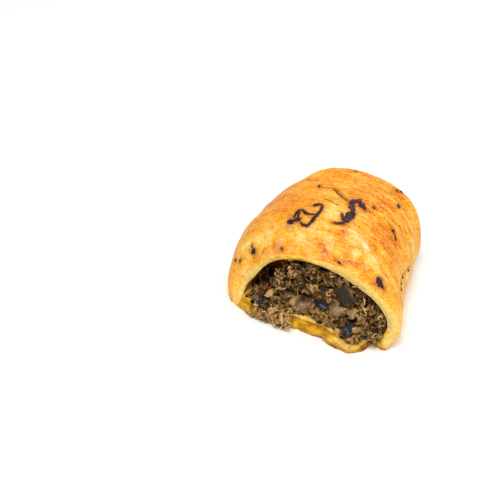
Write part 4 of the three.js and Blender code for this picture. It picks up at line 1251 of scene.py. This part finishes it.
def leaf_points(random, frames, kind, sizes, turns, domed):
    """Soft wavy scraps of leaf as thin closed sheets with ragged edges. The first ones are domed."""
    at, across, up, out = (f[:, None, None] for f in frames)
    n = len(sizes)
    a, b = np.meshgrid(np.linspace(-1, 1, LEAF_ROWS), np.linspace(-1, 1, LEAF_COLUMNS), indexing="ij")
    seeds = random.uniform(0, 100, (n, 1, 1))
    spot = stack(a + seeds, b + 0 * seeds, 0 * a + 0 * seeds)
    ragged = [1 + 0.34 * noise(spot * 1.2, seed) + 0.14 * noise(spot * 3.1, seed) for seed in (401, 409)]
    long = a * np.sqrt(1 - 0.45 * b**2) * sizes[:, :1, None] / 2 * ragged[0]
    wide = b * np.sqrt(1 - 0.45 * a**2) * sizes[:, 1:, None] / 2 * ragged[1]
    turn = turns[:, None, None, None]
    first = np.cos(turn) * across + np.sin(turn) * up
    second = -np.sin(turn) * across + np.cos(turn) * up
    tilt_a, tilt_b = random.normal(0, kind.tilt, (2, n, 1, 1))
    wave = kind.wave * (0.8 * noise(spot * 0.8, 419) + 0.4 * noise(spot * 2.0, 421))
    fold = kind.curl * random.normal(0, 1, (2, n, 1, 1))
    fold[:, :domed] = -0.5 - 0.5 * np.abs(fold[:, :domed])
    wave = wave + fold[0] * a**2 + fold[1] * b**2 + tilt_a * long + tilt_b * wide
    place = at + first * long[..., None] + second * wide[..., None] + out * wave[..., None]
    thick = kind.thick * (1 - 0.6 * np.maximum(np.abs(a), np.abs(b)) ** 4)[None, ..., None]
    tint = 0.5 * noise(spot * 0.9, 433) + 0.34 * noise(spot * 2.4, 439) + 0.12 * (a**2 + b**2) ** 2
    return np.stack([place + out * thick, place - out * thick], axis=1), np.stack([tint, tint], axis=1)


# Everything loose in the filling, one piece a kind. front, rear and clump are how many lie on each
# face and in the clump that hangs out. Sizes are in mm, and angles in radians.
Shreds = namedtuple("Shreds", "name seed front rear clump fringe lift length width thick "
                    "bend tilt roll ruffle")
KINDS = [
    Shreds("brown_shreds", 1, 950, 760, 44, 0.2, 1.5, (1.8, 5.0), (0.55, 1.4), 0.14, 0.9, 0.5, 0.6, 0.16),
    Shreds("tan_fibres", 2, 320, 250, 110, 0.05, 1.9, (1.8, 5.0), (0.3, 0.7), 0.1, 1.2, 0.5, 0.8, 0.08),
    Shreds("chopped_bits", 3, 1300, 850, 70, 0.45, 1.7, (1.0, 2.8), (0.8, 1.8), 0.26, 0.5, 0.6, 0.7, 0.2),
    Shreds("black_bits", 4, 110, 90, 3, 0.5, 1.9, (1.2, 3.4), (0.8, 1.7), 0.2, 0.4, 0.35, 0.5, 0.14),
    Shreds("oily_bits", 5, 80, 60, 60, 0.15, 1.7, (1.5, 4.0), (0.5, 1.3), 0.16, 0.7, 0.4, 0.6, 0.12),
    Shreds("broad_curls", 8, 130, 90, 48, 0.0, 2.1, (3.0, 7.0), (0.9, 1.9), 0.12, 1.5, 0.5, 0.9, 0.24),
]
Leaves = namedtuple("Leaves", "seed front rear clump fringe lift length width thick wave curl tilt tint")
LEAVES = Leaves(6, 150, 110, 8, 0.0, 1.6, (1.8, 4.2), (1.3, 2.9), 0.14, 0.75, 0.8, 0.3, 0.8)
BLACK_LEAVES = LEAVES._replace(seed=7, front=0, curl=0.4, tint=0.5)  # none at random places
# How each piece looks: colours over its tone, then roughness, size and depth of the mottling in
# mm, coat and softness.
BLACK = [(0.0, 7, 6, 6), (0.5, 17, 18, 20), (1.0, 44, 50, 55)]
LOOKS = {
    "scorched_scraps": ([(0.0, 26, 20, 28), (0.35, 52, 24, 34), (0.7, 98, 38, 38),
                         (1.0, 160, 78, 40)], 0.5, 0.8, 0.12),
    "filling_core": ([(0.0, 16, 9, 2), (0.5, 48, 29, 8), (1.0, 224, 152, 56)], 0.5, 1.2, 0.25),
    "brown_shreds": ([(0.0, 42, 22, 4), (0.35, 98, 64, 24), (0.7, 152, 110, 56),
                      (1.0, 204, 160, 98)], 0.45, 0.9, 0.1, 0.1),
    "tan_fibres": ([(0.0, 132, 90, 42), (0.5, 190, 146, 86), (1.0, 236, 198, 136)],
                   0.5, 0.9, 0.06, 0.0, 0.1),
    "chopped_bits": ([(0.0, 32, 20, 4), (0.4, 82, 56, 20), (0.75, 134, 96, 44),
                      (1.0, 188, 140, 76)], 0.42, 0.8, 0.12, 0.1),
    "black_bits": (BLACK, 0.3, 0.9, 0.08, 0.3),
    "broad_curls": ([(0.0, 92, 60, 24), (0.5, 148, 106, 56), (1.0, 214, 174, 112)],
                    0.45, 1.2, 0.1, 0.1, 0.1),
    "oily_bits": ([(0.0, 104, 72, 8), (0.5, 152, 112, 30), (1.0, 200, 158, 70)],
                  0.3, 1.0, 0.06, 0.3, 0.15),
    "leaf_scraps": ([(0.0, 42, 34, 12), (0.4, 100, 74, 40), (0.7, 146, 116, 72),
                     (1.0, 204, 160, 98)], 0.42, 1.4, 0.35, 0.15, 0.05),
    "black_leaves_and_hole_shade": (BLACK, 0.32, 1.2, 0.3, 0.25),
}
# Leaves at their own places on the leading face: x, z, length, width, turn in degrees, tone, lift. One dark
# one is no leaf but painted shade in a hole.
# The x and z of the larger ones come from pixels picked by eye in the photo, which a scratch script turned
# into places. The others are given one by one.
PLACED_LEAVES = [
    (-17.1, 8.0, 5.6, 2.8, 60, 0.95, 2.0),
    (-5.6, 8.0, 9.8, 6.2, 8, 0.62, 1.9),
    (-10.6, 8.9, 4.2, 2.6, 40, 0.58, 1.7),
    (7.0, 8.8, 8.0, 6.8, 20, 0.50, 2.0),
    (7.9, 13.9, 12.4, 7.2, 3, 0.10, 1.9),
    (13.2, 8.9, 5.2, 4.4, 40, 0.74, 2.2),
    (-2.2, 12.9, 3.8, 3.2, 70, 0.80, 1.8),
    (9.0, 4.6, 4.6, 2.8, -20, 0.50, 1.8),
    (15.4, 6.6, 4.4, 2.2, -10, 0.40, 2.0),
    (17.9, 3.4, 3.6, 2.6, 70, 1.0, 1.8),
    (-13.2, 16.4, 2.6, 1.9, 30, 0.85, 1.7),
    (-10.6, 16.2, 3.4, 2.2, 70, 0.88, 1.9),
    (-8.2, 15.4, 2.6, 1.8, 20, 0.80, 1.7),
    (-22.6, 7.9, 2.8, 2.0, 20, 0.52, 1.5),
    (-20.4, 9.4, 2.6, 2.0, 60, 0.58, 1.5),
    (-3.6, 5.4, 6.5, 2.2, -8, 0.66, 1.6),
    (24.0, 7.2, 3.6, 2.6, 30, 0.30, 1.3),
    (-14.0, 6.0, 4.4, 2.4, 15, 0.66, 1.6),
]
PLACED_DARK = [
    (-19.2, 6.0, 3.6, 3.2, 70, 0.55, 2.0),
    (-18.6, 9.6, 2.6, 2.2, 10, 0.05, 1.9),
    (-12.6, 12.8, 3.6, 2.0, 20, 0.35, 1.8),
    (1.5, 8.9, 6.0, 2.8, -12, 0.70, 2.1),
    (12.7, 5.9, 4.2, 3.8, 60, 0.75, 2.2),
    (2.5, 4.2, 1.9, 1.6, 0, 0.25, 2.4),
    (9.4, 11.2, 2.4, 1.8, 40, 0.45, 2.4),
    (20.4, 9.6, 2.0, 2.6, 60, 0.0, 1.5),
    # Not a leaf: a dark sheet sunk into a hole of the filling, as painted shade.
    (18.2, 14.4, 4.6, 4.6, 40, 0.0, -0.2),
    (-24.6, 3.6, 1.6, 1.6, 0, 0.0, 1.8),
    (-9.2, 17.6, 2.4, 1.6, 15, 0.05, 1.5),
    (11.0, 3.2, 1.5, 1.1, 20, 0.1, 1.4),
]


def look(name):
    return plain_material(name, *LOOKS[name])


def add_pieces(name, points, faces, tones):
    """One kind of loose thing, as a piece that stands in for the filling."""
    piece = make_piece(name, points, faces, look(name), {"tone": tones})
    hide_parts("filling")


def make_kind(kind, inside):
    random = np.random.default_rng(kind.seed)
    *frames, lumpy = all_frames(random, kind)
    points = shred_points(random, frames, kind)
    # Pieces that lie low among the lumps or under the crust's arch get a darker tone, as painted shade, and
    # those on the hanging clump a lighter one, as painted light.
    tones = random.normal(0.5, 0.2, len(points)) + 0.25 * fractal(frames[0] / 5.0, 2, 431) + 0.36 * lumpy
    if kind.name == "broad_curls":
        points = np.concatenate([points, placed_curls()])
        tones = np.concatenate([tones, np.full(len(CLUMP_CURLS), 0.85)])
    faces = tube_faces(len(points), SHRED_ROWS)
    tones = np.clip(tones, 0, 1)[:, None, None] + np.zeros(points.shape[:3])
    add_pieces(kind.name, inside.keep(points.reshape(-1, 3)), faces, tones)


def make_leaves(name, placed, kind, inside):
    """The placed leaves of a colour, and random ones if kind has any."""
    random = np.random.default_rng(kind.seed)
    x, z, long, wide, turn, tone, lift = np.array(placed).T
    frames = face_frames(x, z, True, lift)
    sizes = stack(long, wide)
    turns = np.radians(turn)
    if kind.front:
        *drawn_frames, _ = all_frames(random, kind)
        frames = [np.concatenate(pair) for pair in zip(frames, drawn_frames)]
        count = len(frames[0]) - len(x)
        drawn = stack(random.uniform(*kind.length, count), random.uniform(*kind.width, count))
        sizes = np.concatenate([sizes, drawn])
        turns = np.concatenate([turns, random.uniform(0, np.pi, count)])
        tone = np.concatenate([tone, np.clip(random.normal(0.45, 0.25, count), 0, 1)])
    points, tint = leaf_points(random, frames, kind, sizes, turns, len(x))
    tones = np.clip(tone[:, None, None, None] + kind.tint * tint, 0, 1)
    each = 2 * LEAF_ROWS * LEAF_COLUMNS
    faces = slab_faces(LEAF_ROWS, LEAF_COLUMNS)[None] + (np.arange(len(points)) * each)[:, None, None]
    add_pieces(name, inside.keep(points.reshape(-1, 3)), faces.reshape(-1, 4).tolist(), tones)


def make_filling():
    inside = Inside()
    make_core()
    for kind in KINDS:
        make_kind(kind, inside)
    make_leaves("leaf_scraps", PLACED_LEAVES, LEAVES, inside)
    make_leaves("black_leaves_and_hole_shade", PLACED_DARK, BLACK_LEAVES, inside)


# ---- scene ----
def add_camera():
    data = bpy.data.cameras.new("camera")
    data.lens = LENS
    data.sensor_width = 36.0
    camera = add_object("camera", data)
    down, turn = CAMERA_DOWN, CAMERA_TURN
    look = Vector((-math.sin(turn) * math.cos(down), math.cos(turn) * math.cos(down), -math.sin(down)))
    camera.location = Vector(CAMERA_AT) * MM
    camera.rotation_euler = look.to_track_quat("-Z", "Y").to_euler()
    bpy.context.scene.camera = camera


def add_light(name, place, size, power, colour):
    """A soft square lamp, aimed at the object."""
    data = bpy.data.lights.new(name, "AREA")
    data.shape = "SQUARE"
    data.size = size
    data.energy = power
    data.color = colour
    lamp = add_object(name, data)
    lamp.location = place
    lamp.rotation_euler = (Vector(LAMPS_AIM) - Vector(place)).to_track_quat("-Z", "Y").to_euler()


def add_studio():
    world = bpy.data.worlds.new("studio")
    world.use_nodes = True
    world.node_tree.nodes["Background"].inputs["Color"].default_value = (1.0, 1.0, 1.0, 1.0)
    world.node_tree.nodes["Background"].inputs["Strength"].default_value = WORLD_STRENGTH
    bpy.context.scene.world = world
    for lamp in LAMPS:
        add_light(*lamp)
    bpy.context.scene.view_settings.view_transform = "Standard"


def add_floor():
    mesh = bpy.data.meshes.new("floor")
    half = FLOOR_HALF
    corners = [(-half, -half, 0), (half, -half, 0), (half, half, 0), (-half, half, 0)]
    mesh.from_pydata(corners, [], [(0, 1, 2, 3)])
    material = bpy.data.materials.new("floor")
    material.use_nodes = True
    shader = material.node_tree.nodes["Principled BSDF"]
    shader.inputs["Base Color"].default_value = (0.9, 0.9, 0.9, 1.0)
    shader.inputs["Roughness"].default_value = 0.6
    mesh.materials.append(material)
    floor = add_object("floor", mesh)


add_camera()
add_studio()
add_floor()
make_crust(crust_material())
make_scraps()
make_filling()
